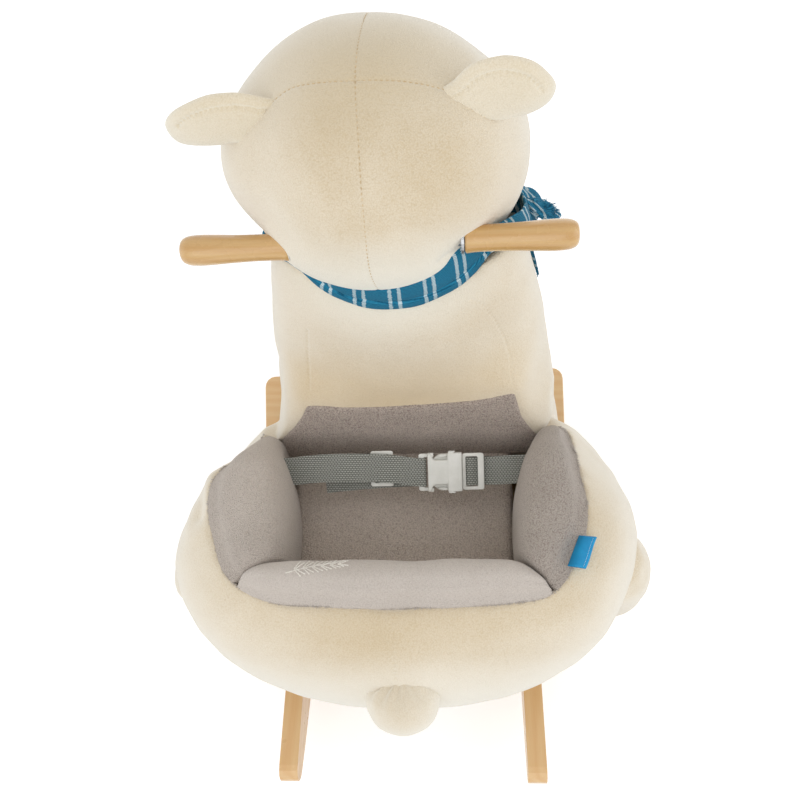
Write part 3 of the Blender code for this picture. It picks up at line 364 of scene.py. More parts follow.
materials = {
    "cream": pileMaterial(
        "creamPlush", plush, ("CFBD9E", "E5DAC6", "EFEADF"), patches=9.0, tufts=850.0, cloudy=0.6,
        contrast=0.18, bump=0.0005, lean=(0.1, 0.85, 0.8), paintedLightZones=plushPaintedLightAndShade,
    ),
    "ear": pileMaterial(
        "earPlush", plush, ("D9CBB0", "E8DECA", "EFEBDF"), patches=14.0, tufts=850.0, cloudy=0.45,
        contrast=0.2, bump=0.0005, lean=(0.06, 0.75, 0.8),
    ),
    # panel, pad, side and rear are one liner cloth in copies of different lightness, painted light and shade:
    # the pad paler against the shade of the seat well, the rear bolster paler where its top faces up
    "panel": pileMaterial(
        "panelPile", liner, ("91827A", "CABCB0", "CABEB2"), patches=26.0, tufts=760.0, cloudy=0.12,
        contrast=0.22, bump=0.0019, lean=(0.35, 1.0, 0.25), paintedLightZones=panelPaintedLight,
    ),
    "pad": pileMaterial(
        "padPile", liner, ("A89A8F", "D9CCC0", "D4C9BE"), patches=26.0, tufts=800.0, cloudy=0.14,
        contrast=0.26, bump=0.0015, lean=(0.35, 1.0, 0.25),
    ),
    "side": pileMaterial(
        "sidePile", liner, ("8C8078", "C8BEB4", "D2C9C0"), patches=26.0, tufts=900.0, cloudy=0.16,
        contrast=0.31, bump=0.0016, lean=(0.35, 1.0, 0.3), paintedLightZones=leftBolsterPaintedLight,
    ),
    "rear": pileMaterial(
        "rearPile", liner, ("B5ABA2", "D6CEC6", "DAD3CC"), patches=26.0, tufts=950.0, cloudy=0.22,
        contrast=0.42, bump=0.0007, lean=(0.35, 1.0, 0.35),
    ),
    "thread": grainMaterial("creamThread", "C0A578", "D6BE98", 0.7, 0.0001),
    "motif": grainMaterial("motifThread", "D6D0C6", "F2EEE6", 0.6, 0.0001, Sheen_Weight=0.2),
    "mouth": grainMaterial("brownThread", "3A2B20", "55412F", 0.7, 0.0001),
    "foam": grainMaterial("seatFoam", "D9D4C4", "EFEBDE", 0.95, 0.0008, 500.0),
    "woodX": woodMaterial("beechAcross", "E9CA99", "DEB27D", alongX),
    "woodY": woodMaterial("beechAlong", "DFBE8C", "D3A56E", alongY),
    "woodZ": woodMaterial("beechUpright", "DFBE8C", "D3A56E", alongZ),
    "grip": woodMaterial("varnishedBeech", "D3AF75", "BD8E4F", alongX, lines=60.0, gloss=0.24, coat=0.7),
    "ply": plyMaterial(),
    "steel": grainMaterial("zincSteel", "95979A", "C0C2C4", 0.32, 0.00004, 2500.0, Metallic=1.0),
    "buckle": grainMaterial("greyNylon", "D1D0C8", "DFDED8", 0.42, 0.00005, 2600.0),
    "gloss": grainMaterial(
        "blackResin", "0B0A0A", "1B1918", 0.12, 0.00001, 500.0, Coat_Weight=0.6, Coat_Roughness=0.05,
    ),
    "webbing": webbingMaterial(),
    "scarf": scarfMaterial(),
    "fringe": grainMaterial("blueThread", "0B5674", "2A7DA0", 0.8, 0.0002),
    "tag": grainMaterial("blueRibbon", "0A8CC6", "16A2DA", 0.5, 0.0002, 1500.0),
    "tagThread": grainMaterial("paleThread", "BFE0F0", "E6F4FA", 0.7, 0.0001),
}
print("materials made:", len(materials))

# Shapes


def dressed(mesh, look):
    mesh.materials.clear()
    mesh.materials.append(materials[look])


def addPiece(name, mesh, look, replaces=None, body="toy"):
    piece = placed(name, mesh)
    dressed(mesh, look)
    mesh.shade_smooth()
    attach(piece, body)
    if replaces:
        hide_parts(replaces)
    return piece


def copied(name, node, look):  # a piece that starts from the node that it replaces
    mesh = nodes[node].data.copy()
    mesh.name = name
    return addPiece(name, mesh, look, replaces=node)


def reworked(mesh, change):  # the mesh after a change made in bmesh
    form = bmesh.new()
    form.from_mesh(mesh)
    change(form)
    form.to_mesh(mesh)
    form.free()
    return mesh


def meshOf(name, points, faces):
    mesh = bpy.data.meshes.new(name)
    mesh.from_pydata([tuple(map(float, p)) for p in points], [], faces)
    return reworked(mesh, lambda form: bmesh.ops.recalc_face_normals(form, faces=form.faces))


def threes(items, what):
    found = np.empty(len(items) * 3)
    items.foreach_get(what, found)
    return found.reshape(-1, 3)


def coordinates(mesh):
    return threes(mesh.vertices, "co")


def setCoordinates(mesh, places):
    mesh.vertices.foreach_set("co", np.asarray(places, float).ravel())
    mesh.update()


def pushed(mesh, move):  # moves each point along its own normal
    setCoordinates(mesh, coordinates(mesh) + threes(mesh.vertex_normals, "vector") * move[:, None])


def step(value, low, high):  # 0 below low, 1 above high, smooth between
    share = np.clip((np.asarray(value, float) - low) / (high - low), 0, 1)
    return share * share * (3 - 2 * share)


def hill(far, reach):  # 1 at no distance, falling off round it
    return np.exp(-((far / reach) ** 2))


def cubeMesh(name, cuts):  # even quads on a cube from -1 to 1
    def cube(form):
        bmesh.ops.create_cube(form, size=2.0)
        bmesh.ops.subdivide_edges(form, edges=form.edges, cuts=cuts, use_grid_fill=True)

    return reworked(bpy.data.meshes.new(name), cube)


def ballMesh(name, cuts, centre=(0, 0, 0), size=(1, 1, 1)):  # the cube blown round
    mesh = cubeMesh(name, cuts)
    at = np.tan(coordinates(mesh) * math.pi / 4)
    at /= np.linalg.norm(at, axis=1)[:, None]
    setCoordinates(mesh, at * np.array(size) + np.array(centre))
    return mesh


def between(first, second, size):  # quads between two rings, from the numbers of their first points
    turns = [(j, (j + 1) % size) for j in range(size)]
    return [(first + j, first + k, second + k, second + j) for j, k in turns]


def skin(name, rings, closed=False):  # quads between rings of points, with fans over the ends
    count, size = len(rings), len(rings[0])
    points = [p for ring in rings for p in ring]
    faces = []
    for i in range(count if closed else count - 1):
        faces += between(i * size, (i + 1) % count * size, size)
    if not closed:
        for ring, start in ((rings[0], 0), (rings[-1], (count - 1) * size)):
            points.append(np.mean(np.array(ring, float), axis=0))
            faces += [(start + j, start + (j + 1) % size, len(points) - 1) for j in range(size)]
    return meshOf(name, points, faces)


def lengthsAlong(line):
    return np.concatenate([[0], np.cumsum(np.linalg.norm(np.diff(line, axis=0), axis=1))])


def spaced(line, count, closed):  # the same line through evenly spaced points
    lengths = lengthsAlong(line)
    wanted = np.linspace(0, lengths[-1], count, endpoint=not closed)
    return np.stack([np.interp(wanted, lengths, line[:, k]) for k in range(3)], axis=1)


def curve(points, count, closed=False):  # a smooth line through points; points in a plane may leave out Z
    at = [Vector((*p, 0)[:3]) for p in points]
    if closed:
        at = [at[-1]] + at + [at[0], at[1]]
    else:
        at = [2 * at[0] - at[1]] + at + [2 * at[-1] - at[-2]]
    dense = []
    for a, b, c, d in zip(at, at[1:], at[2:], at[3:]):
        slope, bend, twist = c - a, 2 * a - 5 * b + 4 * c - d, 3 * b - a - 3 * c + d
        for t in [i / 24 for i in range(24)]:
            dense.append(0.5 * (2 * b + slope * t + bend * t**2 + twist * t**3))
    dense.append(dense[0] if closed else at[-2])
    return spaced(np.array([tuple(p) for p in dense]), count, closed)


def cornered(points, rounding, count):  # a closed outline with straight sides and small round corners
    at = [np.array(p, float) for p in points]
    line = []
    for before, corner, after in zip(at[-1:] + at[:-1], at, at[1:] + at[:1]):
        back, on = before - corner, after - corner
        reach = min(rounding, 0.45 * np.linalg.norm(back), 0.45 * np.linalg.norm(on))
        start, end = (corner + way / np.linalg.norm(way) * reach for way in (back, on))
        for t in np.linspace(0, 1, 7):
            line.append(start * (1 - t) ** 2 + 2 * corner * t * (1 - t) + end * t**2)
    return spaced(np.array(line + line[:1]), count, True)


def applied(piece):
    bpy.context.view_layer.update()
    seen = piece.evaluated_get(bpy.context.evaluated_depsgraph_get())
    mesh, old = bpy.data.meshes.new_from_object(seen), piece.data
    mesh.name = old.name
    piece.modifiers.clear()
    piece.data = mesh
    bpy.data.meshes.remove(old)
    mesh.shade_smooth()


def modified(piece, kind, **settings):
    change = piece.modifiers.new(kind.title(), kind)
    for key, value in settings.items():
        setattr(change, key, value)


def settle(piece, times):
    modified(piece, "SMOOTH", iterations=times, factor=0.5)
    applied(piece)


def remeshed(piece, size, smoothing):
    modified(piece, "REMESH", mode="VOXEL", voxel_size=size)
    settle(piece, smoothing)


def finer(piece):
    modified(piece, "SUBSURF", levels=1, render_levels=1)
    applied(piece)


def finerNear(piece, line, reach):  # splits the faces round a seam, so that it can be sharp
    near, _ = alongLine(coordinates(piece.data), line)

    def split(form):
        edges = [e for e in form.edges if max(near[v.index] for v in e.verts) < reach]
        bmesh.ops.subdivide_edges(form, edges=edges, cuts=1, use_grid_fill=True, smooth=0.5)

    reworked(piece.data, split).shade_smooth()


def alongLine(points, line):  # distance to a line, and how far along it the nearest place is
    line = np.asarray(line, float)
    best = np.full(len(points), 1e9)
    where = np.zeros(len(points))
    travelled = 0.0
    for a, b in zip(line, line[1:]):
        span = b - a
        length = np.linalg.norm(span)
        share = np.clip(((points - a) @ span) / length**2, 0, 1)
        far = np.linalg.norm(points - (a + share[:, None] * span), axis=1)
        nearer = far < best
        best[nearer] = far[nearer]
        where[nearer] = travelled + share[nearer] * length
        travelled += length
    return best, where


def sinkSeam(piece, line, depth=0.0011, width=0.0019, lip=0.0004, pucker=0.004, uneven=0.35):
    far, where = alongLine(coordinates(piece.data), line)
    groove = -depth * hill(far, width) * (1 + uneven * np.cos(math.tau * where / pucker))
    pushed(piece.data, groove + lip * hill(far - 2.6 * width, 1.5 * width))


def lumps(piece, size, height, seed=0.0):  # soft unevenness, from noise of this size
    start = Vector((seed, seed * 1.7, -seed))
    found = [noise.noise(Vector(p) / size + start) for p in coordinates(piece.data)]
    pushed(piece.data, np.array(found) * height)


def finder(piece):
    mesh = piece.data
    return BVHTree.FromPolygons([v.co for v in mesh.vertices], [p.vertices for p in mesh.polygons])


def snapped(piece, line):  # the nearest places on the piece
    tree = finder(piece)
    return np.array([tree.find_nearest(Vector(p))[0] for p in line])


def landed(tree, place, aim):  # where a ray from place meets the surface
    hit, normal, _, _ = tree.ray_cast(Vector(place), Vector(aim).normalized())
    if hit is None:
        hit, normal, _, _ = tree.find_nearest(Vector(place))
    return hit, normal


def ringPoints(middle, ahead, radius, wide, sides):
    side = ahead.orthogonal().normalized()
    other = ahead.cross(side)
    turns = [math.tau * j / sides for j in range(sides)]
    return [middle + (side * math.cos(t) + other * math.sin(t)) * radius * wide for t in turns]


def addCapsule(points, faces, start, end, radius, sides=6):
    start, end = Vector(start), Vector(end)
    ahead, length = (end - start).normalized(), (end - start).length
    rings = ((0.0, 0.35), (0.12, 0.85), (0.35, 1.0), (0.65, 1.0), (0.88, 0.85), (1.0, 0.35))
    base, last = len(points), len(points) + (len(rings) - 1) * sides
    for share, wide in rings:
        points += ringPoints(start + ahead * length * share, ahead, radius, wide, sides)
    for first in range(base, last, sides):
        faces += between(first, first + sides, sides)
    faces.append(tuple(range(base, base + sides))[::-1])
    faces.append(tuple(range(last, last + sides)))


def stitchRow(name, piece, line, look, pitch, length, radius, lift):
    # thread as short capsules, half sunk in the cloth along a line
    points, faces, tree = [], [], finder(piece)
    line = np.asarray(line, float)
    travelled = lengthsAlong(line)
    for i in range(max(1, int(travelled[-1] / pitch))):
        ends = []
        for s in ((i + 0.5) * pitch - length / 2, (i + 0.5) * pitch + length / 2):
            place = Vector([float(np.interp(s, travelled, line[:, k])) for k in range(3)])
            hit, normal, _, _ = tree.find_nearest(place)
            ends.append(hit + normal * lift)
        addCapsule(points, faces, *ends, radius)
    return addPiece(name, meshOf(name, points, faces), look)


def anyWay(most):
    return Vector([random.uniform(-most, most) for _ in range(3)])


def tuftRow(name, line, outward, look, tall, wide):  # pointed tufts of pile leaning over a seam
    points, faces = [], []
    for place, way in zip(line, outward):
        lean = (way + anyWay(0.5) + Vector((0, 0, 0.35))).normalized()
        start = place + anyWay(0.0005) - way * 0.0008
        base, long = len(points), tall * random.uniform(0.6, 1.2)
        for share, thick in ((0.0, 1.0), (0.55, 0.75)):
            points += ringPoints(start + lean * long * share, lean, wide, thick, 4)
        points.append(start + (lean + Vector((0, 0, -0.3))) * long)
        for quad in between(base, base + 4, 4):
            faces += [quad, (quad[3], quad[2], base + 8)]
        faces.append((base + 3, base + 2, base + 1, base))
    addPiece(name, meshOf(name, points, faces), look)


# Wood, steel and boards keep their CAD shape; each look goes to the nodes whose names start so

carried = {
    "woodY": ("rocker_",),
    "woodX": ("crossbar_", "footrest_board", "footrest_wedge_"),
    "woodZ": ("post_",),
    "ply": ("seat_board", "neck_post"),
    "steel": ("bolt_", "footrest_screw_", "handle_", "neck_bracket_"),
}
for look, starts in carried.items():
    kept = [name for name in nodes if name.startswith(starts)]
    for name in kept:
        dressed(nodes[name].data, look)
    print("carried over:", len(kept), "nodes in", look)

# Plush body

body = {
    "voxel": 0.0045,
    "neckShift": 0.009,
    "neckSeamLeft": [
        (-0.0677, 0.0332, 0.3579), (-0.0705, 0.0296, 0.3411), (-0.0729, 0.0244, 0.3261),
        (-0.0746, 0.0162, 0.3134), (-0.0759, 0.0068, 0.3022),
    ],
    "neckSeamRight": [
        (0.0682, 0.0334, 0.3899), (0.0749, 0.0351, 0.3834), (0.0821, 0.0344, 0.372),
        (0.0894, 0.0317, 0.3589), (0.0954, 0.031, 0.3396), (0.0989, 0.0265, 0.3252),
        (0.1005, 0.0173, 0.3144), (0.1015, 0.0075, 0.3043),
    ],
    "rearSeam": [
        (0.0017, -0.19, 0.2832), (0.0014, -0.1985, 0.2778), (0.001, -0.2067, 0.2712),
        (0.0011, -0.215, 0.2617), (0.0013, -0.2228, 0.2493),
    ],
    "chestSeam": [
        (0.004, 0.168, 0.36), (0.003, 0.166, 0.3), (0.001, 0.163, 0.22), (0, 0.158, 0.16),
        (0, 0.12, 0.12),
    ],
    "folds": [
        [(-0.176, -0.068, 0.27), (-0.168, -0.082, 0.277), (-0.166, -0.098, 0.279)],
        [(-0.188, -0.02, 0.232), (-0.17, 0.012, 0.238), (-0.142, 0.03, 0.246)],
        [(0.186, -0.022, 0.232), (0.168, 0.01, 0.238), (0.144, 0.028, 0.248)],
    ],
    "skirt": ((-0.112, 0.006, 0.236), (-0.015, 0, 0), 0.026),  # the neck's foot spreads beside the panel
    "neckLevels": (0.222, 0.285),  # from where to where the neck's shift grows
    "neckPlaces": (-0.04, -0.012),
    "sidePlaces": (0.085, 0.125),
    "sideLevels": (0.125, 0.165),
    "sideTops": (0.255, 0.3),
    "footLevels": (0.2, 0.232),
    "foot": (0.006, 0.024),  # where the neck's foot stands along Y, and its reach
    "skirtSide": (0.094, 0.107),
    "skirtFront": (-0.013, 0.0),
    "rimFront": -0.012,  # the rim of the opening, behind this, stays in place
    "rimReach": (0.003, 0.028),
    "rimLevels": (0.19, 0.225),
    # how far the sides go to the right, from the rear to the front
    "leftSide": [
        (-0.125, 0), (-0.098, 0.003), (-0.088, 0.006), (-0.078, 0.009), (-0.07, 0.01), (-0.06, 0.008),
        (-0.045, 0.007), (-0.025, 0.008), (-0.009, 0.011), (0.008, 0.013), (0.025, 0.011),
        (0.047, 0.012), (0.062, 0.014), (0.075, 0.012), (0.087, 0.009), (0.11, 0.004), (0.14, 0),
    ],
    "rightSide": [
        (-0.15, 0), (-0.11, 0.004), (-0.085, 0.0055), (-0.05, 0.0055), (-0.028, 0.005), (-0.018, 0.006),
        (-0.007, 0.009), (0.005, 0.013), (0.015, 0.014), (0.03, 0.0135), (0.045, 0.012), (0.06, 0.007),
        (0.07, 0.003), (0.087, 0.001), (0.11, 0),
    ],
}

panel = {
    "outline": [
        (-0.113, 0.218), (-0.1135, 0.2345), (-0.112, 0.2425), (-0.1085, 0.248), (-0.1035, 0.2518),
        (-0.095, 0.2612), (-0.0868, 0.2745), (-0.0805, 0.2885), (-0.0453, 0.286), (-0.0045, 0.2846),
        (0.0299, 0.2849), (0.0649, 0.2881), (0.0865, 0.2928), (0.105, 0.2972), (0.107, 0.283),
        (0.1105, 0.2695), (0.118, 0.2543), (0.1242, 0.2435), (0.1275, 0.235), (0.1275, 0.218),
    ],
    "rounding": 0.0016,
    "depth": [
        (0.218, -0.0176), (0.222, -0.017), (0.228, -0.0155), (0.237, -0.013), (0.248, -0.0105),
        (0.262, -0.0078), (0.276, -0.0048), (0.286, -0.002), (0.292, 0.0), (0.3, 0.0015),
    ],
    "front": 0.007,
    "rings": 22,
    "clear": 0.0022,  # from the panel to the plush round it, and where the plush is drawn to it
    "reach": 0.02,
    "levels": (0.222, 0.24),
    "places": (0.03, 0.06),
}

seat = {
    "floor": 0.2186,
    "sideTop": 0.3,
    "rearTop": 0.2975,
    # seen from above: the edge of the opening in the plush, then the seams and the inner creases of the liner
    "opening": [
        (0.124, -0.01), (0.135, -0.015), (0.144, -0.029), (0.151, -0.05), (0.155, -0.078), (0.155, -0.1),
        (0.149, -0.124), (0.138, -0.149), (0.124, -0.164),
    ],
    "openingRear": [
        (0.124, -0.164), (0.106, -0.172), (0.08, -0.177), (0.0, -0.1802), (-0.08, -0.177),
        (-0.106, -0.172), (-0.124, -0.164),
    ],
    "seamRight": [
        (0.138, -0.001), (0.145, -0.0045), (0.149, -0.013), (0.1505, -0.024), (0.1512, -0.04),
        (0.152, -0.0636), (0.1545, -0.0882), (0.153, -0.106), (0.148, -0.124), (0.1356, -0.1517),
        (0.1242, -0.165),
    ],
    "seamLeft": [
        (-0.125, -0.001), (-0.1275, -0.012), (-0.132, -0.025), (-0.14, -0.039), (-0.15, -0.052),
        (-0.155, -0.066), (-0.1552, -0.0846), (-0.15, -0.1076), (-0.1362, -0.1432), (-0.1246, -0.1573),
    ],
    "seamRear": [
        (0.1242, -0.165), (0.1132, -0.1703), (0.08, -0.1745), (0.0, -0.1768), (-0.0809, -0.1733),
        (-0.1097, -0.165), (-0.1246, -0.1573),
    ],
    "creaseRight": [
        (0.124, -0.007), (0.118, -0.022), (0.109, -0.043), (0.1025, -0.064), (0.0985, -0.087),
        (0.098, -0.112), (0.0985, -0.136),
    ],
    "creaseLeft": [
        (-0.1085, -0.01), (-0.105, -0.023), (-0.0985, -0.043), (-0.092, -0.064), (-0.0882, -0.087),
        (-0.0872, -0.112), (-0.0875, -0.136),
    ],
    "creaseRear": [
        (0.118, -0.156), (0.109, -0.145), (0.0945, -0.1385), (0.06, -0.1365), (0.0, -0.136),
        (-0.06, -0.1365), (-0.0945, -0.1385), (-0.109, -0.142), (-0.119, -0.15),
    ],
    "steps": 56,
    "overlap": 0.0026,
    "endRun": 0.16,  # the share of a bolster over which its end falls
    "lipDrop": 0.012,
    "reach": 0.03,
    "levels": (0.195, 0.225),
}


def lookUp(table, at):  # a value between the pairs of a table
    known = np.array(table)
    return np.interp(at, known[:, 0], known[:, 1])


def panelEdge():
    return cornered([(x, 0, z) for x, z in panel["outline"]], panel["rounding"], 160)


def openingLines():  # the rim of the opening as it is built, and the seams it is drawn to
    left = [(-x, y) for x, y in seat["opening"][::-1]]
    old = (seat["opening"], seat["openingRear"], left)
    new = (seat["seamRight"], seat["seamRear"], seat["seamLeft"][::-1])
    return [np.vstack([curve(run, 60)[:, :2] for run in runs]) for runs in (old, new)]


def meetSeams(at):  # draws the rim of the opening to the liner's seams
    old, new = openingLines()
    gap = np.linalg.norm(at[:, None, :2] - old[None], axis=2)
    nearest = gap.argmin(axis=1)
    share = hill(gap.min(axis=1), seat["reach"]) * step(at[:, 2], *seat["levels"])
    at[:, :2] += (new - old)[nearest] * share[:, None]
    return at


def meetPanel(at):  # brings the plush round the panel's edge out to it
    edge = panelEdge()
    far, _ = alongLine(at * np.array([1, 0, 1]), np.vstack([edge, edge[:1]]))
    near = hill(far, panel["reach"]) * step(at[:, 2], *panel["levels"])
    near = near * (1 - step(at[:, 1], *panel["places"]))
    at[:, 1] -= near * np.maximum(at[:, 1] - (lookUp(panel["depth"], at[:, 2]) + panel["clear"]), 0)
    return at


def neckShifted(at):
    share = step(at[:, 2], *body["neckLevels"]) * step(at[:, 1], *body["neckPlaces"])
    at[:, 0] += body["neckShift"] * share
    return at


def sidesMoved(at):  # draws the sides to the outline seen from the rear, but for the rim of the opening
    old, _ = openingLines()
    gap = np.linalg.norm(at[:, None, :2] - old[None], axis=2).min(axis=1)
    half = np.interp(at[:, 1], old[:60, 1][::-1], old[:60, 0][::-1])
    inside = (np.abs(at[:, 0]) < half) & (at[:, 1] < body["rimFront"])
    rim = np.where(inside, 0.0, step(gap, *body["rimReach"]))
    rim = np.maximum(rim, 1 - step(at[:, 2], *body["rimLevels"]))
    for side, key in ((-1, "leftSide"), (1, "rightSide")):
        share = step(side * at[:, 0], *body["sidePlaces"]) * step(at[:, 2], *body["sideLevels"])
        share = share * (1 - 0.8 * step(at[:, 2], *body["sideTops"])) * rim
        if side < 0:  # the neck widens towards its foot
            place, reach = body["foot"]
            share = share * (1 - step(at[:, 2], *body["footLevels"]) * hill(at[:, 1] - place, reach))
        at[:, 0] += lookUp(body[key], at[:, 1]) * share
    centre, move, reach = body["skirt"]
    far = np.linalg.norm(at - np.array(centre), axis=1)
    share = hill(far, reach) * step(-at[:, 0], *body["skirtSide"]) * step(at[:, 1], *body["skirtFront"])
    return at + share[:, None] * np.array(move)


def makeBody():
    piece = copied("plushBody", "body_plush", "cream")
    remeshed(piece, body["voxel"], 6)
    setCoordinates(piece.data, neckShifted(coordinates(piece.data)))
    setCoordinates(piece.data, sidesMoved(coordinates(piece.data)))
    setCoordinates(piece.data, meetPanel(meetSeams(coordinates(piece.data))))
    settle(piece, 8)
    lumps(piece, size=0.07, height=0.0022, seed=1.0)
    lumps(piece, size=0.024, height=0.0004, seed=5.0)
    finer(piece)
    for line in body["folds"]:
        sinkSeam(piece, curve(line, 12), depth=0.0022, width=0.006, lip=0.0016, pucker=0.05, uneven=0.1)
    for key in ("neckSeamLeft", "neckSeamRight", "rearSeam", "chestSeam"):
        line = snapped(piece, curve(body[key], 40))
        finerNear(piece, line, 0.007)
        sinkSeam(piece, line, depth=0.0006, width=0.0013, lip=0.0)
    return piece


bodyPiece = makeBody()
bodyTree = finder(bodyPiece)
print("body made:", len(bodyPiece.data.vertices), "points")

# Head, with the centre seam, the seam between the ears and the hollows for the grips

head = {
    "centre": (-0.0022, 0.116, 0.464),
    "size": (0.1165, 0.104, 0.1),
    "cuts": 84,
    "centreSeam": [
        (0.0, 0.196, 0.52), (-0.0005, 0.17, 0.546), (-0.0013, 0.1399, 0.561), (-0.0035, 0.0846, 0.5587),
        (-0.0025, 0.0502, 0.5406), (-0.0026, 0.0321, 0.5223), (-0.0026, 0.0188, 0.4979),
        (-0.0034, 0.0125, 0.475), (-0.0038, 0.0136, 0.4521), (-0.002, 0.022, 0.425), (0, 0.04, 0.398),
    ],
    "crossSeam": [
        (-0.0751, 0.083, 0.5404), (-0.0513, 0.0902, 0.5494), (-0.0301, 0.0871, 0.5563),
        (-0.0035, 0.0846, 0.5587), (0.0278, 0.0853, 0.5564), (0.0579, 0.0871, 0.5453),
        (0.074, 0.084, 0.537),
    ],
    "gripAt": (0.04, 0.454),
    # the plush swells round each grip: how far, at what level and over what width
    "swell": {-1: (0.0052, 0.454, 0.015), 1: (0.005, 0.47, 0.016)},
    "dimple": (0.003, 0.03, 0.446, 0.006),
    "nape": {-1: (0.165, 0.6, 0.3), 1: (0.115, 0.75, 0.22)},  # how much narrower, where and over what width
}


def makeHead():
    mesh = ballMesh("plushHead", head["cuts"], head["centre"], head["size"])
    piece = addPiece("plushHead", mesh, "cream", replaces="head_plush")
    at = coordinates(mesh)
    centre = np.array(head["centre"])
    unit = (at - centre) / np.array(head["size"])
    towardsNape = -0.857 * unit[:, 1] - 0.515 * unit[:, 2]
    for side, (most, place, width) in head["nape"].items():
        narrower = most * hill(towardsNape - place, width) * (np.sign(unit[:, 0]) == side)
        at[:, 0] -= (at[:, 0] - centre[0]) * narrower
    setCoordinates(mesh, at)
    lumps(piece, size=0.07, height=0.003, seed=3.0)
    lumps(piece, size=0.025, height=0.0007, seed=8.0)
    at = coordinates(mesh)
    for side, (most, level, width) in head["swell"].items():
        far = np.hypot(at[:, 1] - head["gripAt"][0], at[:, 2] - level)
        share = (np.sign(at[:, 0]) == side) * step(np.abs(at[:, 0]), 0.03, 0.055)
        at[:, 0] += side * most * hill(far, width) * share
    most, y, z, width = head["dimple"]
    far = np.hypot(at[:, 1] - y, at[:, 2] - z)
    at[:, 0] -= most * hill(far, width) * step(at[:, 0], 0.03, 0.05)
    setCoordinates(mesh, at)
    for key in ("centreSeam", "crossSeam"):
        line = snapped(piece, curve(head[key], 90))
        finerNear(piece, line, 0.008)
        sinkSeam(piece, line, depth=0.0005, width=0.0012, lip=0.0)
        thread = dict(pitch=0.0038, length=0.0021, radius=0.0003, lift=0.0)
        stitchRow("headStitches_" + key, piece, line, "thread", **thread)
    print("head made:", len(piece.data.vertices), "points")


makeHead()

# Ears: flat pillows, cupped, with the seam along the rim

ears = {
    "left": [
        (-0.056, 0.541), (-0.0655, 0.5475), (-0.0816, 0.554), (-0.0976, 0.555), (-0.1092, 0.553),
        (-0.1234, 0.5467), (-0.1345, 0.5393), (-0.1411, 0.531), (-0.142, 0.523), (-0.138, 0.515),
        (-0.126, 0.5125), (-0.1075, 0.513), (-0.094, 0.5145), (-0.078, 0.51), (-0.064, 0.522),
    ],
    "right": [
        (0.048, 0.54), (0.06, 0.553), (0.0725, 0.5655), (0.0871, 0.57), (0.099, 0.569), (0.1115, 0.564),
        (0.12, 0.556), (0.126, 0.546), (0.1262, 0.538), (0.122, 0.53), (0.113, 0.525), (0.101, 0.5225),
        (0.086, 0.5215), (0.066, 0.526),
    ],
    "depth": 0.09,
    "thick": 0.0055,
    "cup": 3.5,
    "fullness": 2.4,
    "rings": 22,
    "rim": 0.0034,  # from the edge in to the seam
}


def pillowFace(edge, high):  # rings from the rim to the middle, swelling to this height
    middle = edge.mean(axis=0)
    rings = []
    for i in range(ears["rings"]):
        share = 1 - i / ears["rings"]
        ring = middle + (edge - middle) * share
        ring[:, 1] += high * (1 - share ** ears["fullness"]) ** 0.5 + high * 0.04
        rings.append(ring)
    return rings


def makeEar(word, side):
    name = "ear_" + word + "_plush"
    edge = curve([(x, ears["depth"], z) for x, z in ears[word]], 96, closed=True)
    mesh = skin(name, pillowFace(edge, -ears["thick"])[::-1] + pillowFace(edge, ears["thick"]))
    middle = edge.mean(axis=0)
    at = coordinates(mesh)
    reach = (at - middle) * np.array([1, 0, 1])
    at[:, 1] += ears["cup"] * (reach**2).sum(axis=1) - 0.006
    setCoordinates(mesh, at)
    piece = addPiece(name, mesh, "ear", replaces="ear_" + word)
    lumps(piece, size=0.03, height=0.0012, seed=40 + side)
    inner = middle + (edge - middle) * (1 - ears["rim"] / np.linalg.norm(edge - middle, axis=1))[:, None]
    rim = snapped(piece, [(p[0], p[1] - 0.02, p[2]) for p in inner if p[2] > middle[2] + 0.002])
    rim = rim[np.argsort(rim[:, 0])]
    finerNear(piece, rim, 0.005)
    sinkSeam(piece, rim, depth=0.0011, width=0.0012, lip=0.0003, pucker=0.004)


for word, side in (("left", -1), ("right", 1)):
    makeEar(word, side)
print("ears made")

# Face: muzzle, nose, mouth and eyes

face = {
    "muzzle": ((0.0, 0.218, 0.434), (0.05, 0.04, 0.036)),
    "nose": ((0.0, 0.2565, 0.4445), (0.015, 0.0088, 0.01)),
    "eye": ((0.042, 0.212, 0.487), 0.008),
    "underNose": [(0, 0.2595, 0.433), (0, 0.259, 0.422)],
    "leftLip": [
        (0, 0.259, 0.4215), (-0.008, 0.257, 0.4155), (-0.018, 0.2525, 0.417), (-0.024, 0.248, 0.422),
    ],
}


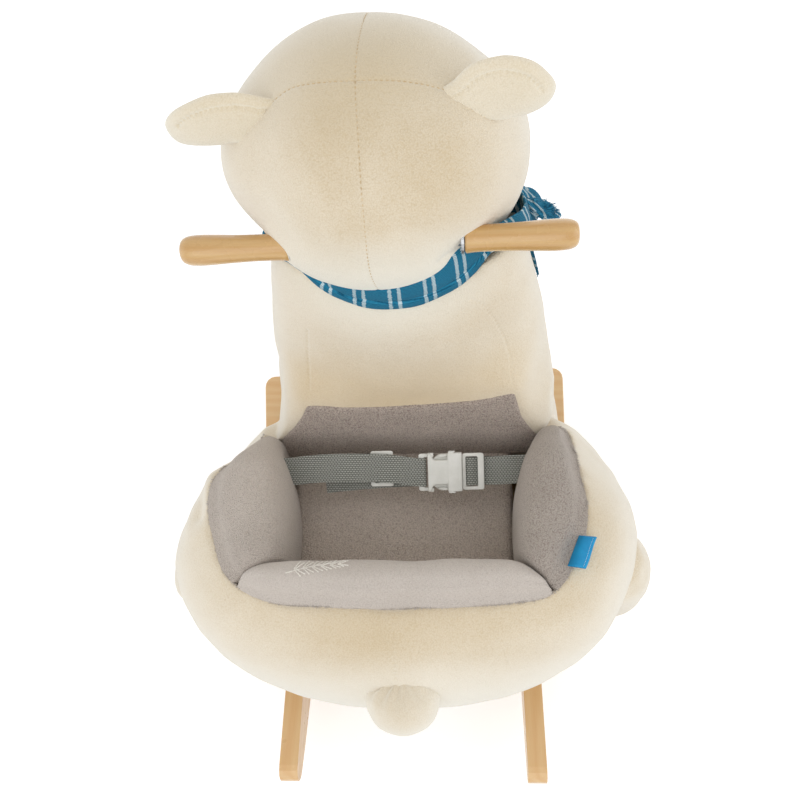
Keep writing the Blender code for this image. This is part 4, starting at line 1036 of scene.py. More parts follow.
def makeFace():
    centre, size = face["muzzle"]
    muzzle = addPiece(
        "plushMuzzle", ballMesh("plushMuzzle", 40, centre, size), "cream", replaces="muzzle",
    )
    lumps(muzzle, size=0.04, height=0.0012, seed=2.0)
    rightLip = [(-x, y, z) for x, y, z in face["leftLip"]]
    lines = [curve(face["underNose"], 10), curve(face["leftLip"], 24), curve(rightLip, 24)]
    for line in lines:
        finerNear(muzzle, line, 0.006)
        sinkSeam(muzzle, line, depth=0.0018, width=0.0022, lip=0.0006, pucker=0.003)
    thread = dict(pitch=0.0028, length=0.0034, radius=0.0007, lift=0.0004)
    for i, line in enumerate(lines):
        stitchRow(f"mouthStitches_{i}", muzzle, line, "mouth", **thread)
    centre, size = face["nose"]
    nose = addPiece("glossNose", ballMesh("glossNose", 20), "gloss", replaces="nose")
    at = coordinates(nose.data)
    at[:, 0] *= 0.8 + 0.28 * at[:, 2]
    at[:, 2] *= 1 - 0.12 * hill(at[:, 0], 0.3) * (at[:, 2] > 0)
    setCoordinates(nose.data, at * np.array(size) + np.array(centre))
    place, radius = face["eye"]
    for word, side in (("left", -1), ("right", 1)):
        middle = Vector((side * place[0], place[1], place[2]))
        out = (middle - Vector(head["centre"])).normalized()
        mesh = ballMesh("glossEye_" + word, 20, size=(radius, radius, radius * 0.72))
        turned = out.to_track_quat("Z", "Y").to_matrix().to_4x4()
        mesh.transform(Matrix.Translation(middle - out * 0.0006) @ turned)
        addPiece("glossEye_" + word, mesh, "gloss", replaces="eye_" + word)


makeFace()
print("face made")

# Legs and tail

limbs = {
    "voxel": 0.0035,
    "soleShare": 0.16,
    "taper": 0.28,
    "tapered": 0.115,
    "tailCentre": (0.0045, -0.235, 0.219),
    "tailSize": (0.03, 0.027, 0.026),
}


def makeLeg(node, seed):
    piece = copied(node + "_plush", node, "cream")
    remeshed(piece, limbs["voxel"], 5)
    low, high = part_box(node)
    if "hind" in node:  # narrower at the back, towards the sole
        at, middle = coordinates(piece.data), (low.y + high.y) / 2
        share = 1 - step(at[:, 2], low.z, low.z + limbs["tapered"])
        at[:, 1] += limbs["taper"] * np.maximum(middle - at[:, 1], 0) * share
        setCoordinates(piece.data, at)
    lumps(piece, size=0.035, height=0.0022, seed=seed)
    finer(piece)
    level = low.z + (high.z - low.z) * limbs["soleShare"]
    far = coordinates(piece.data)[:, 2] - level  # the seam round the sole
    pushed(piece.data, -0.0016 * hill(far, 0.0022) + 0.0007 * hill(np.abs(far) - 0.006, 0.004))


for i, node in enumerate(("leg_hind_left", "leg_hind_right", "leg_front_left", "leg_front_right")):
    makeLeg(node, 11.0 + i)


def makeTail():
    mesh = ballMesh("tail_plush", 40)
    unit = coordinates(mesh)
    root = Vector((0, 0.62, 0.78)).normalized()  # towards the body, where the tail is gathered
    near = unit @ np.array(root)
    side = np.array(root.orthogonal().normalized())
    other = np.cross(np.array(root), side)
    angle = np.arctan2(unit @ other, unit @ side)
    folds = 0.045 * step(near, 0.05, 0.75) * np.cos(angle * 9 + 1.2 * np.sin(angle * 2))
    at = unit * (1 + folds - 0.1 * step(near, 0.3, 0.95))[:, None]
    setCoordinates(mesh, at * np.array(limbs["tailSize"]) + np.array(limbs["tailCentre"]))
    piece = addPiece("tail_plush", mesh, "cream", replaces="tail")
    lumps(piece, size=0.02, height=0.0012, seed=4.0)


makeTail()
print("legs and tail made")

# Seat liner: two side bolsters, the rear bolster, the panel and the pad

above, downwards = 0.34, Vector((0, 0, -1))  # rays fall on the seat from there


def plushBeside(outer, inner):  # the plush just outside the seam, and the way out
    away = (Vector(outer) - Vector(inner)).normalized()
    reach = away * seat["overlap"]
    place = Vector((outer[0] + reach.x, outer[1] + reach.y, above))
    return bodyTree.ray_cast(place, downwards)[0], away


def bolsterRing(inner, outer, lip, top):
    inner, outer = Vector((*inner, 0)), Vector((*outer, 0))
    floor = seat["floor"]
    tall = top - floor
    over = seat["overlap"] / (outer - inner).length
    section = [
        (1.0, floor + 0.3 * (lip - floor)), (1 + 1.2 * over, lip - 0.008), (1 + 1.7 * over, lip - 0.002),
        (1 + 1.3 * over, lip + 0.0008), (1.0, lip + 0.0026), (0.9, lip + 0.34 * (top - lip)),
        (0.82, lip + 0.66 * (top - lip)), (0.72, top - 0.035 * tall), (0.55, top),
        (0.38, top - 0.012 * tall), (0.22, top - 0.07 * tall), (0.09, top - 0.22 * tall),
        (0.015, top - 0.48 * tall), (0.0, top - 0.75 * tall), (0.0, floor + 0.05 * tall),
        (0.05, floor), (0.5, floor), (0.95, floor), (1.0, floor + 0.05 * tall),
    ]
    line = curve(section, 72, closed=True)
    return [tuple(inner.lerp(outer, float(h)))[:2] + (float(z),) for h, z, _ in line]


def makeBolster(name, look, word, top, ends, seed):  # ends: where along it the top falls, and how much
    inner, outer = seat["crease" + word.title()], seat["seam" + word.title()]
    inside, outside = curve(inner, seat["steps"]), curve(outer, seat["steps"])
    rings = []
    run = np.linspace(0, 1, seat["steps"])
    hits = [plushBeside(o, i)[0] for i, o in zip(inside, outside)]
    lips = [hit.z if hit else seat["sideTop"] - seat["lipDrop"] for hit in hits]
    lips = np.convolve(np.pad(lips, 2, mode="edge"), np.ones(5) / 5, mode="valid")
    for share, i, o, lip in zip(run, inside, outside, lips):
        crown = 1.0
        for end, drop in ends:
            s = min(1.0, abs(share - end) / seat["endRun"])
            crown *= 1 - drop * (1 - math.sqrt(max(0.0, 1 - (1 - s) ** 2)))
        height = seat["floor"] + (top(float(i[1])) - seat["floor"]) * crown
        rings.append(bolsterRing(i[:2], o[:2], lip, max(height, lip + 0.002)))
    piece = addPiece(name, skin(name, rings), look, replaces="bolster_" + word)
    lumps(piece, size=0.03, height=0.0016, seed=seed)
    finer(piece)
    return piece


def sideTop(y):  # the side bolsters fall towards their front ends
    return seat["sideTop"] - 0.042 * float(step(y, -0.06, 0.0))


def rearTop(y):
    return seat["rearTop"]


for word, side in (("left", -1), ("right", 1)):
    makeBolster("linerSide_" + word, "side", word, sideTop, ((0.0, 0.5), (1.0, 0.14)), 20 + side)
rearBolster = makeBolster("linerRear", "rear", "rear", rearTop, ((0.0, 0.16), (1.0, 0.16)), 23)


def makeSeamPile():  # the pile that leans out over the seams of the bolsters
    for word in ("left", "right", "rear"):
        outer, inner = (curve(seat[key + word.title()], 420) for key in ("seam", "crease"))
        found = [plushBeside(o, i) for o, i in zip(outer, inner)]
        line, outward = zip(*[(hit, away) for hit, away in found if hit is not None])
        # the tufts take the paler rear copy of the liner: painted light against the shade along the seams
        tuftRow("linerTufts_" + word, line, outward, "rear", tall=0.003, wide=0.00042)


makeSeamPile()
print("bolsters made")


def makePanel():
    edge = panelEdge()
    middle = edge.mean(axis=0)
    parts = []
    for i in range(panel["rings"]):
        share = 1 - (i / panel["rings"]) ** 1.6
        ring = middle + (edge - middle) * share
        tuck = 0.0036 * step(share, 0.975, 1.0) + 0.001 * step(share, 0.85, 0.98)
        ring[:, 1] = lookUp(panel["depth"], ring[:, 2]) + tuck
        parts.append(ring)
    front = [ring * np.array([1, 0, 1]) + np.array([0, panel["front"], 0]) for ring in parts]
    piece = addPiece(
        "linerPanel", skin("linerPanel", parts[::-1] + front), "panel", replaces="seat_panel",
    )
    finer(piece)
    lumps(piece, size=0.03, height=0.0012, seed=31)


makePanel()

pad = {
    "half": 0.101,
    "rear": -0.143,
    "front": -0.003,
    "low": 0.183,
    "top": 0.218,
    "crown": 0.0022,
    "corner": 0.008,
    "rise": 0.0065,  # the pad climbs towards the panel
    "riseFrom": (-0.052, -0.016),
    "sink": 0.0015,
    "cuts": 46,
}


def makePad():
    mesh = cubeMesh("linerPad", pad["cuts"])
    unit = coordinates(mesh)
    size = np.array([pad["half"], (pad["front"] - pad["rear"]) / 2, (pad["top"] - pad["low"]) / 2])
    centre = np.array([0, (pad["front"] + pad["rear"]) / 2, (pad["top"] + pad["low"]) / 2])
    at = unit * size
    inset = np.sign(at) * np.maximum(np.abs(at) - (size - pad["corner"]), 0)
    length = np.maximum(np.linalg.norm(inset, axis=1), 1e-9)
    sharp = np.maximum(np.abs(inset).max(axis=1), 1e-9)
    at += inset * (sharp / length - 1)[:, None]
    crown = pad["crown"] * (1 - unit[:, 0] ** 2) * (1 - unit[:, 1] ** 2) - pad["sink"]
    at[:, 2] += (crown + pad["rise"] * step((at + centre)[:, 1], *pad["riseFrom"])) * (unit[:, 2] > 0.5)
    setCoordinates(mesh, at + centre)
    piece = addPiece("linerPad", mesh, "pad", replaces="seat_pad")
    lumps(piece, size=0.035, height=0.0016, seed=33)
    lumps(piece, size=0.012, height=0.0004, seed=37)
    foam = copied("cushionFoam", "seat_foam", "foam")
    remeshed(foam, 0.005, 2)


makePad()
print("liner made")

# Lap belt, drawn in its own frame: X along the belt, Y up its face, Z out of it

beltTurn = Matrix.Translation(belt["place"]) @ Matrix.Rotation(belt["tilt"], 4, "X")


def strapMesh(name, path, steps=90):  # along x, shift up the face, height out of it, twist in degrees
    width, thick = belt["webbing"], belt["thickness"]
    places = np.array(path, float)
    line = curve(places[:, :3], steps)
    travelled, here = lengthsAlong(places[:, :3]), lengthsAlong(line)
    twists = np.radians(np.interp(here / here[-1], travelled / travelled[-1], places[:, 3]))
    rings = []
    for i, middle in enumerate(line):
        ahead = Vector(line[min(i + 1, steps - 1)] - line[max(i - 1, 0)]).normalized()
        across = Vector((0, math.cos(twists[i]), math.sin(twists[i])))
        across = (across - ahead * across.dot(ahead)).normalized()
        out = ahead.cross(across)
        section = []
        for end in (-1, 1):
            section += [(s * width / 2 * 0.985, end * thick / 2) for s in np.linspace(end, -end, 9)]
            section.append((-end * width / 2, 0.0))
        rings.append([Vector(middle) + across * a + out * b for a, b in section])
    return skin(name, rings)


def plate(outer, low, high, bevel, holes=(), segments=3):  # flat, from outlines in X and Y
    drawn = bpy.data.curves.new("plate", "CURVE")
    drawn.dimensions = "2D"
    drawn.fill_mode = "BOTH"
    drawn.extrude = (high - low) / 2 - bevel
    drawn.bevel_depth = bevel
    drawn.bevel_resolution = segments - 1
    drawn.offset = -bevel
    for points in (outer, *holes):
        line = drawn.splines.new("POLY")
        line.points.add(len(points) - 1)
        for point, (x, y) in zip(line.points, points):
            point.co = (x, y, 0, 1)
        line.use_cyclic_u = True
    thing = placed("plate", drawn)
    bpy.context.view_layer.update()
    mesh = bpy.data.meshes.new_from_object(thing.evaluated_get(bpy.context.evaluated_depsgraph_get()))
    bpy.data.objects.remove(thing)
    bpy.data.curves.remove(drawn)
    reworked(mesh, lambda form: bmesh.ops.remove_doubles(form, verts=form.verts, dist=1e-6))
    mesh.transform(Matrix.Translation((0, 0, (low + high) / 2)))
    return mesh


def roundBox(left, low, right, high, radius):  # an outline with round corners
    centres = [(right - radius, high - radius), (left + radius, high - radius)]
    centres += [(left + radius, low + radius), (right - radius, low + radius)]
    turned = [(x, y, math.pi / 2 * (q + i / 5)) for q, (x, y) in enumerate(centres) for i in range(6)]
    return [(x + radius * math.cos(turn), y + radius * math.sin(turn)) for x, y, turn in turned]


def creased(piece, angle):  # sharp where faces meet at more than this
    piece.data.set_sharp_from_angle(angle=math.radians(angle))
    return piece


def beltPiece(name, meshes, look, node, body="toy", sharp=30):  # one piece of several meshes, on the belt
    def gather(form):
        for mesh in meshes:
            form.from_mesh(mesh)
            bpy.data.meshes.remove(mesh)

    mesh = reworked(bpy.data.meshes.new(name), gather)
    mesh.transform(beltTurn)
    return creased(addPiece(name, mesh, look, node, body), sharp)


buckle = {
    "start": 0.018,
    "bar": 0.005,
    "body": 0.0263,
    "windowIn": 0.0045,
    "end": 0.0563,
    "half": 0.017,
    "waistIn": 0.0062,
    "thick": 0.0055,
    "sleeve": 0.002,
    "wall": 0.0032,
}
insert = {
    "start": 0.0566, "end": 0.0756, "half": 0.0162, "thick": 0.0017, "rim": 0.003, "bar": 0.0055,
    "root": 0.004,
}


def makeBelt():
    level = belt["level"]
    turn = buckle["start"] + buckle["bar"] + 0.001
    left = strapMesh(
        "left",
        [
            (-0.115, 0.003, level, 6), (-0.096, 0.0035, level + 0.001, 5),
            (-0.07, 0.0056, level + 0.003, 2), (-0.04, 0.0058, level + 0.0022, 0),
            (-0.01, 0.0042, level + 0.0012, 0), (0.012, 0.001, level + 0.0003, 0), (0.0215, 0, level, 0),
        ],
    )
    fold = strapMesh(
        "fold",
        [
            (0.02, 0, level, 0), (turn - 0.0006, 0, level - 0.0003, 0), (turn, 0, 0, 0),
            (turn - 0.0006, 0, 0.0003 - level, 0), (0.0165, 0, -level, 0), (0.006, -0.0003, -level, 0),
            (-0.02, -0.0012, -level, 0), (-0.045, -0.003, -level - 0.0006, 1),
            (-0.066, -0.0048, -level - 0.001, 2),
        ],
        110,
    )
    piece = beltPiece("beltStrapLeft", [left, fold], "webbing", "strap_left", sharp=50)
    high = belt["insertLevel"]
    turn = insert["start"] + insert["rim"] + 0.0007
    bar = insert["end"] - insert["bar"] / 2
    right = strapMesh(
        "right",
        [
            (0.115, 0.0014, high, -2), (0.102, 0.0012, high - 0.0004, -2), (0.09, 0.0006, 0.0008, -1),
            (0.0825, 0.0002, -0.0016, 0), (bar + 0.003, 0, -0.003, 0), (bar - 0.001, 0, -0.0029, 0),
            (bar - 0.0045, 0, -0.0012, 0), (bar - 0.0075, 0, 0.0006, 0), (turn + 0.0016, 0, 0.0008, 0),
            (turn + 0.0002, 0, -0.0002, 0), (turn, 0, -0.002, 0), (turn + 0.0008, 0, -0.0042, 0),
            (turn + 0.004, 0, -0.0052, 0), (bar, 0, -0.0056, 0), (0.08, 0, -0.0058, 0),
        ],
        150,
    )
    piece = beltPiece("beltStrapRight", [right], "webbing", "strap_right", "insert", 50)


def makeBuckle():
    b, half, thick = buckle, buckle["half"], buckle["thick"]
    waist, window = half - b["waistIn"], b["body"] + b["windowIn"]
    # top view of the shells: a waist on each side, where the latches' pads show
    side = [
        (b["end"] - 0.0105, half), (window + 0.016, half), (window + 0.0146, half - 0.001),
        (window + 0.0132, waist + 0.0008), (window + 0.012, waist), (window + 0.002, waist),
        (window + 0.0004, waist + 0.001), (window - 0.0014, half - 0.0012), (window - 0.0026, half),
        (b["body"] + 0.0012, half), (b["body"], half - 0.0012),
    ]
    outline = side + [(x, -y) for x, y in side[::-1]]
    band = roundBox(b["end"] - 0.0125, -half, b["end"], half, 0.0012)
    shells = [
        plate(outline, b["sleeve"], thick, 0.0012, segments=4),
        plate(outline, -thick, -b["sleeve"], 0.0012, segments=4),
        plate(band, b["sleeve"], thick + 0.0004, 0.0009),
        plate(band, -thick - 0.0004, -b["sleeve"], 0.0009),
    ]
    walls = ((b["end"] - 0.0125, b["end"], 0.0008, 0.0006), (b["body"], window + 0.0006, 0.0006, 0.001))
    for sign in (-1, 1):
        low, high = sorted((sign * half, sign * (half - b["wall"])))
        for start, end, radius, inset in walls:
            wall = roundBox(start, low, end, high, radius)
            shells.append(plate(wall, -thick + inset, thick - inset, 0.0004))
    back = roundBox(b["body"], -half + 0.001, b["body"] + 0.0028, half - 0.001, 0.0006)
    shells.append(plate(back, -thick + 0.001, thick - 0.001, 0.0004))
    bars = roundBox(b["start"], -half + 0.0005, b["body"] + 0.003, half - 0.0005, 0.0022)
    room = belt["webbing"] / 2 + 0.0008
    hole = roundBox(b["start"] + b["bar"], -room, b["body"] - 0.0001, room, 0.0006)
    shells.append(plate(bars, -0.0015, 0.0015, 0.0006, [hole]))
    beltPiece("buckleHousing", shells, "buckle", "buckle_housing")


def makeInsert():
    n, half, thick = insert, insert["half"], insert["thick"]
    inner = buckle["half"] - buckle["wall"] - 0.0003
    outline = roundBox(n["start"], -half, n["end"], half, 0.0024)
    hole = roundBox(n["start"] + n["rim"], -half + n["rim"], n["end"] - n["bar"], half - n["rim"], 0.0012)
    root = roundBox(n["start"] - n["root"], -inner, n["start"] + n["rim"] / 2, inner, 0.0008)
    tongue = roundBox(buckle["body"] + 0.005, -0.0035, n["start"] + 0.001, 0.0035, 0.0015)
    lip = roundBox(n["start"] + 0.0001, -half + 0.0006, n["start"] + 0.002, half - 0.0006, 0.0008)
    rigid = [
        plate(outline, -thick, thick, 0.0007, [hole]),
        plate(root, -thick + 0.0002, thick - 0.0002, 0.0004),
        plate(tongue, -thick + 0.0002, thick - 0.0002, 0.0004),
        plate(lip, thick - 0.0005, thick + 0.0007, 0.0004),
    ]
    beltPiece("buckleInsert", rigid, "buckle", "buckle_insert", "insert")


def makeLatches():  # an arm in the housing and a thumb pad in its window
    outer = buckle["half"] - buckle["wall"] - 0.0003
    waist, pad = buckle["half"] - buckle["waistIn"], buckle["half"] - 0.0008
    start = buckle["body"] + buckle["windowIn"] + 0.001
    root = insert["start"] - insert["root"] - 0.0003
    arm = [
        (start - 0.0022, waist), (start + 0.0005, waist + 0.0022), (start + 0.004, pad - 0.0006),
        (start + 0.006, pad), (start + 0.0118, pad), (start + 0.0126, pad - 0.0008),
        (start + 0.0134, outer), (root - 0.001, outer), (root, outer - 0.0008), (root, outer - 0.0017),
        (root - 0.001, outer - 0.0025), (start + 0.014, outer - 0.0025), (start + 0.012, waist - 0.0008),
        (start - 0.0016, waist - 0.0008),
    ]
    thumb = [
        (start + 0.0022, waist + 0.003), (start + 0.0048, pad - 0.0008), (start + 0.0064, pad - 0.0001),
        (start + 0.0112, pad - 0.0001), (start + 0.0118, pad - 0.0008), (start + 0.0118, waist + 0.0028),
        (start + 0.007, waist + 0.0022),
    ]
    for word in ("lower", "upper"):
        shapes = [arm, thumb]
        if word == "lower":
            shapes = [[(x, -y) for x, y in shape[::-1]] for shape in shapes]
        latch = [plate(shapes[0], -0.0016, 0.0016, 0.0004), plate(shapes[1], -0.0036, 0.0036, 0.0009)]
        beltPiece("latch_" + word + "_arm", latch, "buckle", "latch_" + word, "latch_" + word)


slider = {
    "x": -0.0145, "up": 0.004, "long": 0.01, "half": 0.01575, "bar": 0.0021, "hole": 0.0044,
    "tall": 0.0125,
}


def makeSlider():  # a flat loop with a bar between its two holes
    x, up, long, half, tall = (slider[key] for key in ("x", "up", "long", "half", "tall"))
    holes = []
    for side in (-1, 1):
        near = x + side * slider["bar"]
        low, high = sorted((near, near + side * slider["hole"]))
        holes.append(roundBox(low, up - tall, high, up + tall, 0.0008))
    loop = plate(
        roundBox(x - long, up - half, x + long, up + half, 0.002), -0.0012, 0.0012, 0.0005, holes,
    )
    beltPiece("strapSlider", [loop], "buckle", "strap_slider", "slider")


makeBelt()
makeBuckle()
makeInsert()
makeLatches()
makeSlider()
print("belt made")

# Grips, turned and varnished

grips = {
    "inner": 0.064,
    "sides": 48,
    # radius, and how far out: the bore for the washer, then the turned outside
    "bore": [(0.0052, 0.006, 0), (0.0052, 0.0004, 0), (0.007, 0.0, 0)],
    "profile": [
        (0.009, 0.0), (0.0104, 0.0008), (0.0106, 0.0022), (0.0101, 0.006), (0.0098, 0.014),
        (0.0099, 0.028), (0.0103, 0.04), (0.0109, 0.052), (0.0114, 0.064), (0.0113, 0.071),
        (0.0106, 0.0762), (0.0088, 0.08), (0.0058, 0.0817), (0.0, 0.082),
    ],
}


def makeGrips():
    y, z = head["gripAt"]
    turns = [math.tau * j / grips["sides"] for j in range(grips["sides"])]
    line = curve(grips["profile"], 60)
    for word, side in (("left", -1), ("right", 1)):
        rings = []
        for r, s, _ in [*grips["bore"], *line[:-1]]:
            x = side * (grips["inner"] + s)
            rings.append([(x, y + r * math.cos(turn), z + r * math.sin(turn)) for turn in turns])
        name = "woodGrip_" + word
        creased(addPiece(name, skin(name, rings), "grip", replaces="grip_" + word), 60)


makeGrips()
print("grips made")

# Scarf: the band, the knot and two hanging ends with frayed edges

scarf = {
    # by degrees round the neck from its right: heights of the band's lower and upper edges
    "lower": [
        (0, 0.406), (10, 0.402), (20, 0.398), (30, 0.392), (45, 0.381), (60, 0.372), (90, 0.356),
        (120, 0.369), (150, 0.389), (165, 0.395), (180, 0.399), (190, 0.411), (200, 0.4235),
        (208, 0.4262), (216, 0.4232), (224, 0.415), (232, 0.409), (240, 0.405), (248, 0.4022),
        (256, 0.4008), (264, 0.4), (272, 0.4002), (280, 0.4012), (288, 0.4028), (296, 0.4055),
        (304, 0.4092), (312, 0.4138), (320, 0.4205), (328, 0.431), (336, 0.4285), (344, 0.419),
        (352, 0.411), (360, 0.406),
    ],
    "upper": [
        (0, 0.428), (10, 0.424), (20, 0.4195), (30, 0.413), (45, 0.401), (60, 0.389), (90, 0.373),
        (120, 0.386), (150, 0.405), (165, 0.409), (180, 0.4115), (190, 0.4235), (200, 0.4335),
        (208, 0.4342), (216, 0.4318), (224, 0.428), (232, 0.4225), (240, 0.42), (256, 0.419),
        (264, 0.4192), (280, 0.4225), (296, 0.4275), (304, 0.4315), (312, 0.4385), (320, 0.443),
        (328, 0.446), (336, 0.446), (344, 0.441), (352, 0.434), (360, 0.428),
    ],
    "neck": {"level": 0.4, "middle": 0.009, "half": 0.1095, "rear": 0.0195, "front": 0.1585},
    "taper": {"half": -0.2, "rear": 0.2, "front": -0.08},
    "steps": 170,
    "repeat": 0.0277,
    "ends": {  # top and bottom, half widths there, which way it faces and its waves
        "inner": ((0.09, 0.135, 0.374), (0.06, 0.158, 0.272), 0.012, 0.019, 72, 1.0),
        "outer": ((0.11, 0.116, 0.38), (0.117, 0.11, 0.338), 0.01, 0.014, 28, 4.0),
    },
    "endRows": 44,
    "endColumns": 34,
    "fringe": 60,
    "tuckFringe": 64,
    "tuckEnd": 0.1436,
    "pairAt": 273.6,
    "knot": (0.1085, 0.123, 0.395),
    "knotSize": (0.0185, 0.018, 0.0195),
    "tuck": (0.1285, 0.114, 0.402),  # the torn edge that stands out of the knot
    "tuckSize": (0.0135, 0.0085, 0.007),
    # across the band: share of its height, and how far out of the neck
    "section": [
        (0.0, 0.0), (0.02, 0.9), (0.12, 1.7), (0.26, 1.9), (0.37, 1.6), (0.42, 0.6), (0.45, 0.1),
        (0.48, 0.7), (0.56, 1.5), (0.75, 1.9), (1.0, 1.8), (1.2, 1.0), (1.32, 0.0), (1.25, -1.4),
        (1.0, -2.0), (0.5, -2.2), (0.1, -1.8), (0.0, -0.8),
    ],
}


def setFlat(mesh, across):  # writes a map in metres for the weave
    flat = mesh.uv_layers.new(name="cloth")
    where = np.array(across, float)
    corner = np.empty(len(mesh.loops), dtype=np.int32)
    mesh.loops.foreach_get("vertex_index", corner)
    flat.data.foreach_set("uv", where[corner].ravel())


def bandEdge(which, angle):  # a place on the band's lower or upper edge
    level = float(lookUp(scarf[which], math.degrees(angle) % 360))
    n, up = scarf["neck"], level - scarf["neck"]["level"]
    half, rear, front = (n[key] + scarf["taper"][key] * up for key in ("half", "rear", "front"))
    middle, deep = (rear + front) / 2, (front - rear) / 2
    out = Vector((math.cos(angle), math.sin(angle), 0))
    reach = 1 / math.hypot(out.x / half, out.y / deep)
    return Vector((n["middle"], middle, level)) + out * reach, out


def clearOfHead(at):  # points inside the head go out to just off it
    centre, size = np.array(head["centre"]), np.array(head["size"]) + 0.0006
    away = (at - centre) / size
    far = np.linalg.norm(away, axis=1)
    inside = far < 1
    at[inside] = centre + (away[inside] / far[inside][:, None]) * size
    return at


def makeBand():
    steps = scarf["steps"]
    section = curve([(u, n / 1000) for u, n in scarf["section"]], 52, closed=True)
    angles = [math.tau * i / steps for i in range(steps)]
    edges = [(*bandEdge("lower", angle), bandEdge("upper", angle)[0]) for angle in angles]
    travelled = np.cumsum([(a[0] - b[0]).length for a, b in zip(edges, edges[-1:] + edges[:-1])])
    start = travelled[int(scarf["pairAt"] / 360 * steps)]
    rings, flat = [], []
    for angle, (foot, out, top), along in zip(angles, edges, travelled):
        up = (top - foot).normalized()
        face = (out - up * out.dot(up)).normalized()
        tall = max((top - foot).length, 0.0012)
        full = float(step(tall, 0.0, 0.01))
        shift = 0.1 * math.sin(2 * angle + 0.6)
        ring = []
        for u, n, _ in section:
            wave = 0.00035 * math.sin(angle * 13 + u * 5) * (n > 0.001)
            rise = tall * (u + shift * math.sin(math.pi * min(max(u, 0), 1)))
            ring.append(foot + up * rise + face * ((n + wave) * (0.3 + 0.7 * full)))
            flat.append((along - start + 0.5 * scarf["repeat"] + 1.0, u * tall + n))
        rings.append(ring)
    mesh = skin("scarfBand", rings, closed=True)
    setFlat(mesh, flat)
    piece = addPiece("scarfBand", mesh, "scarf", replaces="scarf_band")


def makeKnot():
    for name, key, seed, node in (
        ("scarfKnot", "knot", 0.0, "scarf_knot"), ("scarfTuck", "tuck", 2.0, None),
    ):
        centre, size = scarf[key], scarf[key + "Size"]
        mesh = ballMesh(name, 44)
        unit = coordinates(mesh)
        x, y, z = unit.T
        folds = 0.1 * np.sin(x * 6 + z * 10 + 1.5 * y + seed) + 0.06 * np.sin(np.arctan2(z, x) * 5 + seed)
        at = unit * (1 + folds)[:, None] * np.array(size)
        at[:, 2] -= seed * 0.25 * at[:, 0]
        setCoordinates(mesh, clearOfHead(at + np.array(centre)))
        setFlat(mesh, np.stack([x * size[0] * 1.1 + y * 0.012, z * size[2] * 1.4], axis=1))
        piece = addPiece(name, mesh, "scarf", replaces=node)
    points, faces, tree = [], [], finder(piece)  # threads round the torn edge
    for _ in range(scarf["tuckFringe"]):
        angle = random.uniform(-0.9, 1.5)
        aim = Vector((math.cos(angle), random.uniform(-0.7, 0.2), math.sin(angle) - 0.2)).normalized()
        start, _, _, _ = tree.ray_cast(Vector(scarf["tuck"]), aim)
        end = start + (aim + anyWay(0.6)) * random.uniform(0.0012, 0.0036)
        end.x = min(end.x, scarf["tuckEnd"])
        addCapsule(points, faces, start - aim * 0.0005, end, 0.00024, 5)
    addPiece("scarfTuck_fringe", meshOf("scarfTuck_fringe", points, faces), "fringe")


def makeEnd(word, top, bottom, halfTop, halfBottom, facing, seed):
    # a gathered strip that fans out down the chest, with loose threads at its foot
    rows, columns, count = scarf["endRows"], scarf["endColumns"], scarf["fringe"]
    top, bottom = Vector(top), Vector(bottom)
    out = Vector((math.cos(math.radians(facing)), math.sin(math.radians(facing)), 0))
    side = Vector((-out.y, out.x, 0))
    front, back = [], []
    for i in range(rows):
        share = i / (rows - 1)
        middle = top.lerp(bottom, share)
        half = halfTop + (halfBottom - halfTop) * float(step(share, 0.0, 0.7))
        for j in range(columns):
            across = 2 * j / (columns - 1) - 1
            drop = Vector((0, 0, 0.0015 * math.sin(across * 5 + seed) * share))
            hit, normal = landed(bodyTree, middle + side * across * half + drop + out * 0.1, -out)
            wave = 0.0016 + 0.0014 * (1 + math.sin(across * 8 + seed + share * 1.5)) * (1 - 0.4 * share)
            front.append(hit + normal * (wave + 0.0014))
            back.append(hit + normal * wave)
    size = rows * columns
    grid = np.arange(size).reshape(rows, columns)
    faces = []
    for a in grid[:-1, :-1].ravel().tolist():
        b = a + columns
        faces += [(a, a + 1, b + 1, b), (a + size, b + size, b + 1 + size, a + 1 + size)]
    rim = np.concatenate([grid[0], grid[1:, -1], grid[-1, -2::-1], grid[-2:0:-1, 0]]).tolist()
    faces += [(a, b, b + size, a + size) for a, b in zip(rim, rim[1:] + rim[:1])]
    name = "scarfEnd_" + word
    mesh = meshOf(name, front + back, faces)
    long = (top - bottom).length
    flat = [
        ((1 - i / (rows - 1)) * long, (j / (columns - 1)) * 0.05)
        for i in range(rows) for j in range(columns)
    ]
    setFlat(mesh, flat + flat)
    piece = addPiece(name, mesh, "scarf", replaces="scarf_end_" + word)
    foot, points, faces = front[-columns:], [], []
    for k in range(count):
        j = k / (count - 1) * (columns - 1)
        low = int(min(j, columns - 2))
        start = foot[low].lerp(foot[low + 1], j - low)
        fall = (
            random.uniform(-0.0015, 0.0015), random.uniform(-0.0005, 0.0015),
            -random.uniform(0.003, 0.0075),
        )
        addCapsule(points, faces, start + Vector((0, 0, 0.001)), start + Vector(fall), 0.00028, 5)
    fringe = addPiece(name + "_fringe", meshOf(name + "_fringe", points, faces), "fringe")


makeBand()
makeKnot()
for word, values in scarf["ends"].items():
    makeEnd(word, *values)
print("scarf made")

# Tag in the seam, bare, with its row of stitches

tag = {
    "place": Vector((0.1425, -0.1361, 0.2862)),
    "turn": math.radians(-24),
    "droop": math.radians(-36),
    "reach": 0.0165,
    "half": 0.0135,
    # once round the folded ribbon: share of the reach, and height
    "outside": [
        (0.0, 0.0005), (0.5, 0.0007), (0.93, 0.0008), (1.0, 0.0), (0.93, -0.0008), (0.5, -0.0007),
        (0.0, -0.0005),
    ],
    "inside": [
        (0.0, -0.0002), (0.5, -0.0004), (0.92, -0.0005), (0.975, 0.0), (0.92, 0.0005), (0.5, 0.0004),
        (0.0, 0.0002),
    ],
}


